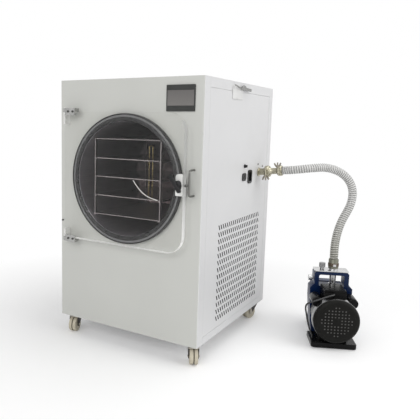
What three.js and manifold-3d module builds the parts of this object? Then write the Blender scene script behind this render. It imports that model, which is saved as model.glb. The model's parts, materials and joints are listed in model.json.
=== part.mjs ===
// Laboratory freeze dryer on casters, with its vacuum pump and vacuum hose.
// Millimetres, +Z up, front of the cabinet towards -Y, floor at Z = 0.
import * as THREE from 'three';
import { mergeVertices } from 'three/addons/utils/BufferGeometryUtils.js';
import Module from 'manifold-3d';

const wasm = await Module();
wasm.setup();

// ---------------------------------------------------------------- dimensions
const CAB_W = 530; // cabinet width
const CAB_D = 564; // cabinet depth
const CAB_H = 800; // cabinet height above its casters
const LIFT = 64; // caster height
const SHEET = 2; // sheet metal thickness
const GAP = 0.3; // clearance between neighbouring pieces
const RETURN = 36; // depth of the front and rear panels' side returns
const BEND = 4; // outside radius of the vertical bends
const SILL = 23.4; // height of the base pan's side walls
const EAVE = 30; // height of the top cover's side skirt

const CHAMBER_Z = 555; // chamber axis above the floor
const CHAMBER_R = 183; // outside radius of the chamber tube
const CHAMBER_WALL = 4;
const CHAMBER_BACK = 56; // where the straight tube ends, in Y
const RIM_OUT = 9; // how far the tube stands proud of the front panel
const ROUND = 32; // facets round the chamber
const DISH = 160; // radius where its back turns into the dish

const GASKET_R = 203.5;
const GASKET_FRONT = 15; // gasket face ahead of the front panel

const DOOR = { left: -221, right: 222, bottom: 349, top: 761, thick: 18, nearR: 55, hingeR: 8 };
const HINGE = { x: -227.5, y: -306.3, pin: 2.2, sleeve: 4, eye: 6, leaf: 12 };
const LATCH = { x: 212, z: 554 };
const STRIKER = { x: 240, out: 31, low: 523, high: 598, r: 3 };

const SHELF = { half: 125, front: -278, back: 40, thick: 1.5, plate: 2, z: [434, 496, 557, 616, 677] };
const SCREEN = { x0: 142.5, x1: 236.5, z0: 764, z1: 840 };

const VENT = {
  rows: 14, cols: 22, y0: -151, z0: 412, pitchY: 15.9, pitchZ: 22.6, wide: 6.4, tall: 15.5, lean: 8,
};
const PORT = { y: 168.7, z: 566, tilt: THREE.MathUtils.degToRad(6.5) };
const HOSE_R = 15;

const CASTER = { x: 233, y: 240, trail: 14, wheelR: 25, wheelHalf: 13, groove: 3.5, axleR: 4 };
const PUMP = { x: 575.5, y: 107, turn: 24 };
const FAN = { y: -78, z: 237.3 };
const MOTOR = { r: 66, z: 101, v0: 4, v1: 100 };
const COVER = { r: 75, near: -22, holes: 10, pitch: 10.5, side: 4.8 };
const INLET = { u: 7.7, v: 127 };

const halfW = CAB_W / 2;
const halfD = CAB_D / 2;
const top = LIFT + CAB_H;

// ------------------------------------------------------------ shape helpers
function paint(colour, roughness, metalness = 0) {
  return new THREE.MeshStandardMaterial({ color: colour, roughness, metalness });
}

function solid(geometry) {
  const bare = geometry.clone();
  for (const name of Object.keys(bare.attributes)) {
    if (name !== 'position') bare.deleteAttribute(name);
  }
  const welded = mergeVertices(bare, 1e-3);
  return new wasm.Manifold(new wasm.Mesh({
    numProp: 3,
    vertProperties: new Float32Array(welded.attributes.position.array),
    triVerts: new Uint32Array(welded.index.array),
  }));
}

function surface(manifold) {
  const mesh = manifold.getMesh();
  const geometry = new THREE.BufferGeometry();
  geometry.setAttribute('position', new THREE.BufferAttribute(new Float32Array(mesh.vertProperties), 3));
  geometry.setIndex(new THREE.BufferAttribute(new Uint32Array(mesh.triVerts), 1));
  geometry.computeVertexNormals();
  return geometry;
}

function join(first, ...others) {
  return surface(others.reduce((whole, piece) => whole.add(solid(piece)), solid(first)));
}

function cut(body, ...tools) {
  return surface(tools.reduce((whole, tool) => whole.subtract(solid(tool)), solid(body)));
}

// A block given by its low and high corners.
function block(x0, x1, y0, y1, z0, z1) {
  const geometry = new THREE.BoxGeometry(x1 - x0, y1 - y0, z1 - z0);
  return geometry.translate((x0 + x1) / 2, (y0 + y1) / 2, (z0 + z1) / 2);
}

// A round bar between two values along X, Y or Z.
function bar(axis, r, from, to, a, b, facets = 16) {
  const geometry = new THREE.CylinderGeometry(r, r, to - from, facets);
  const middle = (from + to) / 2;
  if (axis === 'x') return geometry.rotateZ(-Math.PI / 2).translate(middle, a, b);
  if (axis === 'y') return geometry.translate(a, middle, b);
  return geometry.rotateX(Math.PI / 2).translate(a, b, middle);
}

// An outline pushed along its normal, with square edges.
function extrude(shape, depth, curveSegments) {
  return new THREE.ExtrudeGeometry(shape, { depth, bevelEnabled: false, curveSegments });
}

// Prisms: an outline in XZ pushed along Y, one in YZ pushed along X, one in XY pushed along Z.
function prismY(shape, y0, y1, curve = 6) {
  return extrude(shape, y1 - y0, curve).rotateX(Math.PI / 2).translate(0, y1, 0);
}

function prismX(shape, x0, x1, curve = 6) {
  const turn = new THREE.Matrix4().set(0, 0, 1, x0, 1, 0, 0, 0, 0, 1, 0, 0, 0, 0, 0, 1);
  return extrude(shape, x1 - x0, curve).applyMatrix4(turn);
}

function prismZ(shape, z0, z1, curve = 6) {
  return extrude(shape, z1 - z0, curve).translate(0, 0, z0);
}

function polygon(points) {
  return new THREE.Shape(points.map(([a, b]) => new THREE.Vector2(a, b)));
}

// A rounded rectangle; radii run from the low-low corner, anticlockwise.
function plate(a0, a1, b0, b1, radii) {
  const [r0, r1, r2, r3] = Array.isArray(radii) ? radii : [radii, radii, radii, radii];
  const shape = new THREE.Shape();
  shape.moveTo(a0 + r0, b0);
  shape.lineTo(a1 - r1, b0);
  shape.absarc(a1 - r1, b0 + r1, r1, -Math.PI / 2, 0);
  shape.lineTo(a1, b1 - r2);
  shape.absarc(a1 - r2, b1 - r2, r2, 0, Math.PI / 2);
  shape.lineTo(a0 + r3, b1);
  shape.absarc(a0 + r3, b1 - r3, r3, Math.PI / 2, Math.PI);
  shape.lineTo(a0, b0 + r0);
  shape.absarc(a0 + r0, b0 + r0, r0, Math.PI, 1.5 * Math.PI);
  return shape;
}

// Turns a closed surface's faces outwards if its profile ran the other way.
function outward(geometry) {
  const index = geometry.index.array;
  const p = geometry.attributes.position;
  const corner = [new THREE.Vector3(), new THREE.Vector3(), new THREE.Vector3()];
  let volume = 0;
  for (let i = 0; i < index.length; i += 3) {
    corner.forEach((v, k) => v.fromBufferAttribute(p, index[i + k]));
    volume += corner[0].dot(corner[1].clone().cross(corner[2]));
  }
  if (volume < 0) index.reverse();
  return geometry;
}

// A revolved profile of [radius, station] pairs, with its axis along X, Y or Z.
// A profile that doesn't touch the axis is closed on itself.
function revolve(axis, profile, a, b, facets = 24) {
  const points = profile.map(([r, s]) => new THREE.Vector2(r, s));
  const onAxis = profile[0][0] === 0 && profile[profile.length - 1][0] === 0;
  if (!onAxis) points.push(points[0].clone());
  const geometry = outward(new THREE.LatheGeometry(points, facets));
  if (axis === 'x') return geometry.rotateZ(-Math.PI / 2).translate(0, a, b);
  if (axis === 'y') return geometry.translate(a, 0, b);
  return geometry.rotateX(Math.PI / 2).translate(a, b, 0);
}

// A round tube or rod swept along a smooth curve through the given points.
function sweep(points, r, steps, facets = 8, tension = 0.5) {
  const stations = points.map((p) => new THREE.Vector3(...p));
  const path = new THREE.CatmullRomCurve3(stations, false, 'catmullrom', tension);
  const ring = Array.from({ length: facets }, (_, i) => {
    const t = (2 * Math.PI * (i + 0.5)) / facets;
    return [r * Math.cos(t), r * Math.sin(t)];
  });
  return new THREE.ExtrudeGeometry(polygon(ring), { steps, extrudePath: path, bevelEnabled: false });
}

function addPiece(parent, name, geometry, material) {
  const mesh = new THREE.Mesh(geometry, material);
  mesh.name = name;
  parent.add(mesh);
  return mesh;
}

// ------------------------------------------------------------------ cabinet
// Folded tray: a face sheet with a return at each side, bent round the vertical corners.
function foldedFace(width, depth, low, high) {
  const half = width / 2;
  const inner = half - SHEET;
  const shape = new THREE.Shape();
  shape.moveTo(-half, depth);
  shape.lineTo(-half, BEND);
  shape.absarc(-half + BEND, BEND, BEND, Math.PI, 1.5 * Math.PI);
  shape.lineTo(half - BEND, 0);
  shape.absarc(half - BEND, BEND, BEND, 1.5 * Math.PI, 2 * Math.PI);
  shape.lineTo(half, depth);
  shape.lineTo(inner, depth);
  shape.lineTo(inner, BEND);
  shape.absarc(half - BEND, BEND, BEND - SHEET, 0, -Math.PI / 2, true);
  shape.lineTo(-half + BEND, SHEET);
  shape.absarc(-half + BEND, BEND, BEND - SHEET, -Math.PI / 2, -Math.PI, true);
  shape.lineTo(-inner, depth);
  return prismZ(shape, low, high, 2);
}

function frontPanel() {
  const tray = foldedFace(CAB_W, RETURN, LIFT, top).translate(0, -halfD, 0);
  const mouth = bar('y', CHAMBER_R + 1.5, -halfD - 5, -halfD + 8, 0, CHAMBER_Z, ROUND);
  const window = block(SCREEN.x0 + 5, SCREEN.x1 - 5, -halfD - 5, -halfD + 8, SCREEN.z0 + 5, SCREEN.z1 - 5);
  return cut(tray, mouth, window);
}

// The rear panel carries a field of upright slots where the cooling air comes out.
function rearPanel() {
  const tray = foldedFace(CAB_W, RETURN, LIFT, top).rotateZ(Math.PI).translate(0, halfD, 0);
  const slots = Array.from({ length: 8 }, (_, i) => {
    const x = -84 + 24 * i;
    return block(x - 4, x + 4, halfD - 8, halfD + 5, 130, 330);
  });
  return cut(tray, ...slots);
}

// Outline shared by the base and the top: full width between the trays' returns, and let
// inside them at the front and rear, with the corners cut to clear the bends.
function deckOutline() {
  const y = halfD - SHEET - GAP;
  const side = halfD - RETURN - GAP;
  const inner = halfW - SHEET - GAP;
  const right = [
    [inner - 1.5, -y], [inner, -y + 1.5], [inner, -side], [halfW, -side],
    [halfW, side], [inner, side], [inner, y - 1.5], [inner - 1.5, y],
  ];
  const left = right.map(([a, b]) => [-a, b]).reverse();
  return polygon([...right, ...left]);
}

function topCover() {
  const side = halfD - RETURN - GAP;
  const lid = prismZ(deckOutline(), top - SHEET, top);
  const skirt = [-1, 1].map((s) => {
    const edge = [s * (halfW - SHEET), s * halfW].sort((a, b) => a - b);
    return block(...edge, -side, side, top - EAVE, top - 0.5);
  });
  return join(lid, ...skirt);
}

// Floor of the cabinet with its two upstands and the four caster pads.
function basePan() {
  const side = halfD - RETURN - GAP;
  const floor = prismZ(deckOutline(), LIFT, LIFT + 3);
  const walls = [-1, 1].map((s) => {
    const edge = [s * (halfW - SHEET), s * halfW].sort((a, b) => a - b);
    return block(...edge, -side, side, LIFT + 0.5, LIFT + SILL);
  });
  const pads = [-1, 1].flatMap((sx) => [-1, 1].map((sy) => {
    const [x, y] = [sx * CASTER.x, sy * CASTER.y];
    return block(x - 28, x + 28, y - 28, y + 28, LIFT - 3, LIFT + 0.5);
  }));
  return join(floor, ...walls, ...pads);
}

function sideOutline() {
  const y = halfD - RETURN - GAP;
  const [low, high] = [LIFT + SILL + GAP, top - EAVE - GAP];
  return polygon([[-y, low], [y, low], [y, high], [-y, high]]);
}

function leftPanel() {
  return prismX(sideOutline(), -halfW, -halfW + SHEET);
}

// The field of leaning air slots, as one set of cutting prisms.
function ventCutters() {
  const { rows, cols, y0, z0, pitchY, pitchZ, wide, tall, lean } = VENT;
  const cutters = [];
  for (let row = 0; row < rows; row += 1) {
    for (let col = 0; col < cols; col += 1) {
      const y = y0 + col * pitchY;
      const z = z0 - row * pitchZ;
      const slot = polygon([
        [y + lean / 2 - wide / 2, z - tall / 2], [y + lean / 2 + wide / 2, z - tall / 2],
        [y - lean / 2 + wide / 2, z + tall / 2], [y - lean / 2 - wide / 2, z + tall / 2],
      ]);
      cutters.push(prismX(slot, halfW - SHEET - 4, halfW + 4));
    }
  }
  return cutters;
}

// The right panel: air slots, and the holes for the vacuum pipe and the power sockets.
function rightPanel() {
  const sheet = prismX(sideOutline(), halfW - SHEET, halfW);
  const pipe = bar('x', 12, halfW - 8, halfW + 8, PORT.y, PORT.z, 12);
  const holes = SOCKETS.map(({ y, z, w, h }) => {
    return block(halfW - 8, halfW + 8, y - w / 2 + 2, y + w / 2 - 2, z - h / 2 + 2, z + h / 2 - 2);
  });
  return cut(sheet, pipe, ...holes, ...ventCutters());
}

const SOCKETS = [
  { name: 'power_inlet', y: 82.5, z: 555, w: 36, h: 46, r: 9 },
  { name: 'pump_outlet', y: 31, z: 557, w: 33, h: 26, r: 9 },
  { name: 'fuse_holder', y: 33, z: 593.5, w: 12, h: 12, r: 5.9 },
];

// --------------------------------------------------- chamber and what is in it
// Stainless tube with a dished back, open at the front.
function chamber() {
  const r = CHAMBER_R;
  const w = CHAMBER_WALL;
  const mouth = -halfD - RIM_OUT;
  const back = CHAMBER_BACK;
  return revolve('y', [
    [0, back + 30], [DISH - 2, back + 6], [r, back - 10], [r, mouth],
    [r - w, mouth], [r - w, back - 12], [DISH, back], [0, back + 26],
  ], 0, CHAMBER_Z, ROUND);
}

// Black rubber ring that hugs the tube's rim and fills the gap to the panel.
function doorGasket() {
  const r = CHAMBER_R;
  const rim = -halfD - RIM_OUT - GAP;
  const face = -halfD - GASKET_FRONT;
  return revolve('y', [
    [r + GAP, -halfD - GAP], [GASKET_R, -halfD - GAP], [GASKET_R - 2, face],
    [r - CHAMBER_WALL, face], [r - CHAMBER_WALL, rim], [r + GAP, rim],
  ], 0, CHAMBER_Z, ROUND);
}

// Two saddle plates with rails: the chamber lies in them above the refrigeration parts.
function chamberCradle() {
  const low = LIFT + 3 + GAP;
  const seat = (CHAMBER_R + GAP) / Math.cos(Math.PI / 20);
  const saddle = (y) => {
    const outline = polygon([[-196, low], [196, low], [196, 470], [-196, 470]]);
    const round = bar('y', seat, y - 10, y + 14, 0, CHAMBER_Z, 20);
    const bay = prismY(plate(-158, 158, low + 34, 352, 12), y - 10, y + 14, 1);
    return cut(prismY(outline, y, y + 4), round, bay);
  };
  const rails = [-1, 1].map((s) => {
    const edge = [s * 170, s * 196].sort((a, b) => a - b);
    return block(...edge, -180, 24, low, low + 12);
  });
  return join(saddle(-180), saddle(20), ...rails);
}

// Welded cage: top and bottom plates, four posts, runners for the three shelves, two rails.
function shelfRack() {
  const { half, front, back, plate: sheet, z } = SHELF;
  const pieces = [];
  for (const s of [-1, 1]) {
    const post = [s * (half - 3), s * (half - 0.4)].sort((a, b) => a - b);
    const runner = [s * (half - 6), s * (half - 2.5)].sort((a, b) => a - b);
    const rail = [s * (half - 8), s * (half + 2.8)].sort((a, b) => a - b);
    pieces.push(block(...rail, front + 1, back - 1, z[0] - 3, z[0] + 0.8));
    for (const y of [front + 0.4, back - 10.4]) pieces.push(block(...post, y, y + 10, z[0] + 1, z[4] + 1));
    for (const level of z.slice(1, 4)) {
      pieces.push(block(...runner, front + 1, back - 1, level - 5, level - GAP));
    }
  }
  const bottomPlate = block(-half, half, front, back, z[0], z[0] + sheet);
  const topPlate = block(-half, half, front, back, z[4], z[4] + sheet);
  return join(bottomPlate, topPlate, ...pieces);
}

// A fitted shelf rests on its runners and has a turned-down front lip.
function shelf(level) {
  const { half, front, back, thick } = SHELF;
  const w = half - 3 - GAP;
  const sheet = block(-w, w, front + 2, back - 2, level, level + thick);
  const lip = block(-w + 8, w - 8, front + 2, front + 3.5, level - 1.5, level + 1);
  return join(sheet, lip);
}

// Product temperature lead, from under the middle shelf to the right-hand post.
function probeLead() {
  const y = SHELF.front - 3;
  return sweep([
    [28, y, 553], [40, y, 538], [60, y, 519], [84, y, 506], [108, y, 500], [118, y, 498],
  ], 2, 9, 8);
}

// Brass hairpin in front of the chamber's back: two pipes, a socketed bend over them, and
// at their lower ends two elbows that turn back to the dish.
function feedPipe() {
  const y = CHAMBER_BACK - 9;
  const [x0, x1, low, high] = [-119.5, -104.5, 457, 640];
  const bend = sweep([
    [x0, y, high - 4], [x0, y, high], [x0 + 2.4, y, high + 5.2], [(x0 + x1) / 2, y, high + 7.5],
    [x1 - 2.4, y, high + 5.2], [x1, y, high], [x1, y, high - 4],
  ], 3.8, 8, 6);
  const pipes = [x0, x1].map((x) => bar('z', 3, low, high - 2, x, y, 6));
  const elbows = [x0, x1].map((x) => {
    const radius = Math.hypot(x, low + 3 - CHAMBER_Z);
    const dish = CHAMBER_BACK + ((DISH - radius) / DISH) * 26;
    return bar('y', 2.8, y, dish - 1.2, x, low + 3, 6);
  });
  return join(bend, ...pipes, ...elbows);
}

// ------------------------------------------------------------- touch screen
function screenBezel() {
  const { x0, x1, z0, z1 } = SCREEN;
  const y = -halfD - GAP;
  const frame = prismY(plate(x0, x1, z0, z1, 2), y - 3.5, y, 2);
  const body = block(x0 + 6, x1 - 6, y - 1, y + 24, z0 + 6, z1 - 6);
  const recess = block(x0 + 3, x1 - 3, y - 6, y - 1.3, z0 + 16, z1 - 15);
  return cut(join(frame, body), recess);
}

function screenGlass() {
  const { x0, x1, z0, z1 } = SCREEN;
  const y = -halfD - GAP;
  return block(x0 + 3.3, x1 - 3.3, y - 3.3, y - 1.3 - GAP, z0 + 16.3, z1 - 15.3);
}

// --------------------------------------------------------- door and its latch
function doorPane() {
  const { left, right, bottom, top: high, thick, nearR, hingeR } = DOOR;
  const back = -halfD - GASKET_FRONT - GAP;
  const outline = plate(left, right, bottom, high, [hingeR, nearR, nearR, hingeR]);
  const pane = prismY(outline, back - thick, back, 5);
  const spindleHole = bar('y', 6.7, back - thick - 5, back + 5, LATCH.x, LATCH.z, 8);
  return cut(pane, spindleHole);
}

// Fixed hinge leaf: a narrow sleeve on the front panel with an upright pin.
function hingeBracket(upper) {
  const { x, y, pin: r, sleeve } = HINGE;
  const z0 = upper ? 722 : DOOR.bottom;
  const z1 = upper ? DOOR.top : 376;
  const panel = -halfD - GAP;
  const outline = new THREE.Shape();
  outline.moveTo(x + sleeve, panel);
  outline.lineTo(x - sleeve, panel);
  outline.lineTo(x - sleeve, y);
  outline.absarc(x, y, sleeve, Math.PI, 2 * Math.PI);
  const leaf = prismZ(outline, z0, z1, 3);
  const pin = upper
    ? bar('z', r, z0 + 4, z1 + HINGE.leaf + 2, x, y, 8)
    : bar('z', r, z0 - HINGE.leaf - 2, z1 - 4, x, y, 8);
  return join(leaf, pin);
}

// Moving hinge leaf: an angle bolted along the pane's edge, with an eye round the pin.
function hingeArm(upper) {
  const { x, y, pin, eye: r, leaf: tall } = HINGE;
  const back = -halfD - GASKET_FRONT - GAP;
  const face = back - DOOR.thick;
  const [near, far] = [-214, -175];
  const z0 = upper ? DOOR.top + GAP : DOOR.bottom - GAP - tall;
  const z1 = z0 + tall;
  const lip = upper ? block(near, far, face - 4 - GAP, face - GAP, z0 - 10, z1)
    : block(near, far, face - 4 - GAP, face - GAP, z0, z1 + 10);
  const outline = new THREE.Shape();
  outline.moveTo(far, face - 4 - GAP);
  outline.lineTo(far, back);
  outline.lineTo(near, back);
  outline.lineTo(x, y + r);
  outline.absarc(x, y, r, Math.PI / 2, 1.5 * Math.PI);
  outline.lineTo(near, face - 4 - GAP);
  const leaf = prismZ(outline, z0, z1, 3);
  const hole = bar('z', (pin + GAP) / Math.cos(Math.PI / 8), z0 - 5, z1 + 5, x, y, 8);
  const bolts = [near + 12, far - 8].map((bx) => {
    return bar('y', 3.6, face - 7 - GAP, face - 3, bx, upper ? z0 + 1 : z1 - 1, 6);
  });
  return cut(join(leaf, lip, ...bolts), hole);
}

function latchBlock() {
  const face = -halfD - GASKET_FRONT - GAP - DOOR.thick;
  const outline = plate(LATCH.x - 11, LATCH.x + 9.5, 524, 587, [2, 2, 2, 9]);
  const pad = prismY(outline, face - 8, face - GAP, 2);
  return cut(pad, bar('y', 6.7, face - 12, face + 3, LATCH.x, LATCH.z, 8));
}

// Black lever: egg-shaped hub, leaning handle bar and the spindle through the pane.
function latchLever() {
  const block0 = -halfD - GASKET_FRONT - GAP - DOOR.thick - 8;
  const hubShape = new THREE.Shape();
  hubShape.absellipse(LATCH.x, LATCH.z, 10.5, 15, 0, 2 * Math.PI);
  const hub = prismY(hubShape, block0 - 12, block0 - GAP, 3);
  const spindle = bar('y', 6, block0 - 6, -halfD - GASKET_FRONT + 3, LATCH.x, LATCH.z, 8);
  const handle = prismY(plate(-22, 38, -5.5, 5.5, 4.5), 0, 10, 2);
  handle.rotateY(-THREE.MathUtils.degToRad(124)).translate(LATCH.x, block0 - 21, LATCH.z);
  return join(hub, spindle, handle);
}

// Steel catch plate on the spindle, behind the pane; it hangs down when released.
function latchCatch() {
  const y0 = -halfD - GASKET_FRONT + 3 + GAP;
  const outline = new THREE.Shape();
  outline.moveTo(LATCH.x + 8, LATCH.z);
  outline.absarc(LATCH.x, LATCH.z, 8, 0, Math.PI);
  outline.lineTo(LATCH.x - 7, LATCH.z - 30);
  outline.lineTo(LATCH.x - 3, LATCH.z - 36);
  outline.lineTo(LATCH.x + 7, LATCH.z - 36);
  outline.lineTo(LATCH.x + 7, LATCH.z - 26);
  outline.lineTo(LATCH.x + 8, LATCH.z - 22);
  return prismY(outline, y0, y0 + 4, 5);
}

// Round staple that the catch swings behind, with a stub and stop knob at mid height.
function doorStriker() {
  const { x, out, low, high, r } = STRIKER;
  const panel = -halfD - GAP;
  const front = -halfD - out;
  const lowerHalf = [
    [x, panel, low], [x, panel - 14, low], [x, front + 4, low], [x, front, low + 5], [x, front, low + 30],
  ];
  const upperHalf = lowerHalf.map(([a, b, c]) => [a, b, low + high - c]).reverse();
  const staple = sweep([...lowerHalf, ...upperHalf], r, 12, 6, 0.4);
  const stub = bar('x', 2, x - 10, x, front, LATCH.z, 6);
  const knob = bar('x', 4.5, x - 14, x - 6, front, LATCH.z, 8);
  return join(staple, stub, knob);
}

function doorBumper() {
  const panel = -halfD - GAP;
  return revolve('y', [
    [0, panel], [2.5, panel], [2.5, panel - 5], [1.5, panel - 6.5], [0, panel - 6.5],
  ], -256, 398, 8);
}

// ------------------------------------------------ side fittings of the cabinet
// Power inlet: rounded bezel through the panel, with an open recess and three blades.
function powerInlet({ y, z, w, h, r }) {
  const bezel = prismX(plate(y - w / 2, y + w / 2, z - h / 2, z + h / 2, r), halfW + GAP, halfW + 3, 2);
  const body = block(halfW - 26, halfW + 1, y - w / 2 + 3, y + w / 2 - 3, z - h / 2 + 3, z + h / 2 - 3);
  const recess = block(halfW - 14, halfW + 6, y - 11, y + 11, z - 15, z + 15);
  const blades = [[-8, 0], [0, 4], [8, 0]].map(([dz, dy]) => {
    return block(halfW - 15, halfW - 2, y + dy - 3, y + dy - 1, z + dz - 2, z + dz + 2);
  });
  return join(cut(join(bezel, body), recess), ...blades);
}

function pumpOutlet({ y, z, w, h, r }) {
  const bezel = prismX(plate(y - w / 2, y + w / 2, z - h / 2, z + h / 2, r), halfW + GAP, halfW + 3, 2);
  const body = block(halfW - 22, halfW + 1, y - w / 2 + 3, y + w / 2 - 3, z - h / 2 + 3, z + h / 2 - 3);
  const slots = [[-7, -2], [0, 3], [7, -2]].map(([dy, dz]) => {
    return block(halfW - 10, halfW + 6, y + dy - 1.2, y + dy + 1.2, z + dz - 3, z + dz + 3);
  });
  return cut(join(bezel, body), ...slots);
}

function fuseHolder({ y, z, w }) {
  return revolve('x', [
    [0, halfW - 12], [3.6, halfW - 12], [3.6, halfW + GAP], [w / 2, halfW + GAP], [w / 2, halfW + 4],
    [4.6, halfW + 10], [0, halfW + 10],
  ], y, z, 8);
}

// Draw latch that holds the right panel to the top cover.
function sideLatchPlate() {
  const sheet = prismX(plate(-92, -10, 809, 850, 3), halfW + GAP, halfW + 2, 2);
  const post = bar('x', 5, halfW + 1, halfW + 4.5, -17, 846, 8);
  const hook = block(halfW + 1, halfW + 8, -90, -86, 841, 849);
  return join(sheet, post, hook);
}

function sideLatchLever() {
  const x = halfW + 4.5 + GAP;
  const paddle = polygon([
    [-88, 853], [-89, 851], [-30, 840.5], [42, 838.5], [44, 841], [44, 846], [42, 847.5], [0, 848],
    [-6, 853], [-17, 855], [-25, 852], [-34, 844.5],
  ]);
  return prismX(paddle, x, x + 5);
}

// Vacuum pipe: from the chamber's back, round to the right panel, and out as a flanged port.
// The port outside the panel leans up a little, so its pieces share one tilted frame,
// whose X runs along the port from the panel's face.
function portPipe() {
  const { y, z } = PORT;
  const start = CHAMBER_BACK + 30 + GAP;
  const run = sweep([
    [0, start, z], [0, 112, z], [4, 138, z], [22, 160, z], [52, y, z], [100, y, z], [150, y, z],
    [200, y, z], [240, y, z],
  ], 9.5, 9, 6);
  const neck = revolve('x', [
    [0, 236], [10, 236], [10, halfW + GAP], [15.5, halfW + GAP], [15.5, halfW + 4.5], [0, halfW + 4.5],
  ], y, z, 12);
  const outer = revolve('x', [
    [0, -2], [10, -2], [10, 5], [12, 6.5], [12, 21], [15, 24], [15, 34], [0, 34],
  ], 0, 0, 12);
  outer.rotateY(-PORT.tilt).translate(halfW, y, z);
  return join(run, neck, outer);
}

// Split clamp round a pair of flanges, with two lugs for its bolt on the near side.
function clampRing(x, r, up) {
  const ring = revolve('x', [
    [r - 5.2, x - 8], [r - 2, x - 8], [r, x - 4], [r, x + 4], [r - 2, x + 8], [r - 5.2, x + 8],
  ], 0, 0, 12);
  const lug = (z0, z1) => block(x - 6.5, x + 6.5, -r - 12, -r + 4, z0, z1);
  const slit = block(x - 12, x + 12, -r - 20, -r + 8, -1, 1);
  const hole = bar('z', 3.1, -30, 30, x, -r - 5.5, 6);
  const low = up ? -8 : -11;
  const high = up ? 11 : 8;
  return cut(join(ring, lug(low, -0.5), lug(0.5, high)), slit, hole);
}

// Bolt with its wing nut, on the bolt's own axis; the wings flare away from the lugs.
function wingNut() {
  const bolt = bar('z', 2.5, -11, 30, 0, 0, 6);
  const head = bar('z', 4.5, -12, -8 - GAP, 0, 0, 6);
  const hub = bar('z', 5.5, 11 + GAP, 20, 0, 0, 8);
  const wing = (side) => polygon([
    [side * 3, 12.5], [side * 9, 17], [side * 13, 26], [side * 10, 29], [side * 4, 19.5],
  ]);
  const wings = [-1, 1].map((side) => prismY(wing(side), -2.5, 2.5));
  return join(bolt, head, hub, ...wings);
}

// Reducer from the wall flange to the smaller flange that the second clamp holds.
function portReducer() {
  return revolve('x', [
    [0, 34 + GAP], [15, 34 + GAP], [15, 40], [12.5, 46], [10.8, 52], [10.8, 71], [13, 74.5],
    [13, 79.35], [0, 79.35],
  ], 0, 0, 12);
}

// Hose tail: its flange sits in the outer clamp and its stub meets the hose.
function hoseTail() {
  return revolve('x', [
    [0, 79.65], [13, 79.65], [13, 84.5], [10.5, 86.5], [10.5, 88.7], [0, 88.7],
  ], 0, 0, 12);
}

// ------------------------------------------------------- refrigeration, inside
function compressor() {
  const [x, y] = [-95, 165];
  const low = LIFT + 3 + GAP;
  const can = revolve('z', [
    [0, low + 6], [66, low + 6], [80, low + 22], [80, low + 68], [76, low + 72],
    [76, low + 130], [48, low + 174], [0, low + 181],
  ], x, y, 10);
  const feet = block(x - 84, x + 84, y - 62, y + 62, low, low + 8);
  return join(can, feet);
}

// Condenser coil block with end plates and a cross bar that carries the fan motor.
function condenser() {
  const low = LIFT + 3 + GAP;
  const core = block(206, 240, -150, 190, low + 14, low + 330);
  const ends = [-154, 190].map((y) => block(202, 246, y, y + 4, low, low + 340));
  const strut = block(197, 202.5, -154, 194, low + 160, low + 180);
  const motor = bar('x', 30, 158, 198, FAN.y, FAN.z, 10);
  const shaft = bar('x', 4, 128, 160, FAN.y, FAN.z, 6);
  return join(core, ...ends, strut, motor, shaft);
}

// Five-bladed fan on the motor's shaft.
function condenserFan() {
  const hub = revolve('x', [[5, 132], [20, 132], [20, 150], [5, 150]], FAN.y, FAN.z, 8);
  const blades = Array.from({ length: 5 }, (_, i) => {
    const outline = polygon([[12, -9], [84, -26], [82, 22], [12, 9]]);
    const blade = prismZ(outline, -1.2, 1.2).rotateX(0.5).rotateY(-Math.PI / 2);
    return blade.rotateX((i * 2 * Math.PI) / 5).translate(141, FAN.y, FAN.z);
  });
  return join(hub, ...blades);
}

// ------------------------------------------------------------------ casters
// Swivel yoke: bearing disc, crown, two cheeks and the axle; the wheel trails towards -Y.
// The wheel has two treads with a groove between them.
function casterFork() {
  const { trail, wheelR, wheelHalf, axleR } = CASTER;
  const race = LIFT - 3 - GAP;
  const disc = revolve('z', [[0, 52], [19, 52], [18, race], [0, race]], 0, 0, 8);
  const crown = block(-wheelHalf - 3.6, wheelHalf + 3.6, -trail - 8, 17, 51, 53.5);
  const side = new THREE.Shape();
  side.moveTo(16, 52.5);
  side.lineTo(-trail - 7, 52.5);
  side.lineTo(-trail - 8, wheelR);
  side.absarc(-trail, wheelR, 8, Math.PI, 2 * Math.PI);
  side.lineTo(12, 46);
  const inner = wheelHalf + 1.1;
  const cheeks = [[-inner - 2.5, -inner], [inner, inner + 2.5]].map(([a, b]) => prismX(side, a, b, 2));
  const axle = bar('x', axleR, -inner - 4.5, inner + 4.5, -trail, wheelR, 6);
  return join(crown, disc, ...cheeks, axle);
}

function casterWheel() {
  const { trail, wheelR: r, wheelHalf: h, groove, axleR } = CASTER;
  return revolve('x', [
    [axleR + 0.5, -h], [r - 0.5, -h + 0.5], [r, -2], [r - groove, -1],
    [r - groove, 1], [r, 2], [r - 0.5, h - 0.5], [axleR + 0.5, h],
  ], -trail, r, 12);
}

// --------------------------------------------------------------- vacuum pump
// Local frame: X across, Y towards the far end, Z up, origin under the near edge of the base.
function pumpBase() {
  const right = [[66, 0], [72.5, 6], [72.5, 100], [50, 106], [50, 255]];
  const outline = polygon([...right, ...right.map(([a, b]) => [-a, b]).reverse()]);
  const deck = prismZ(outline, 3, 20);
  const feet = [[-50, 22], [50, 22], [-40, 240], [40, 240]].map(([x, y]) => {
    return bar('z', 10, 0, 5, x, y, 8);
  });
  return join(deck, ...feet);
}

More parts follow.
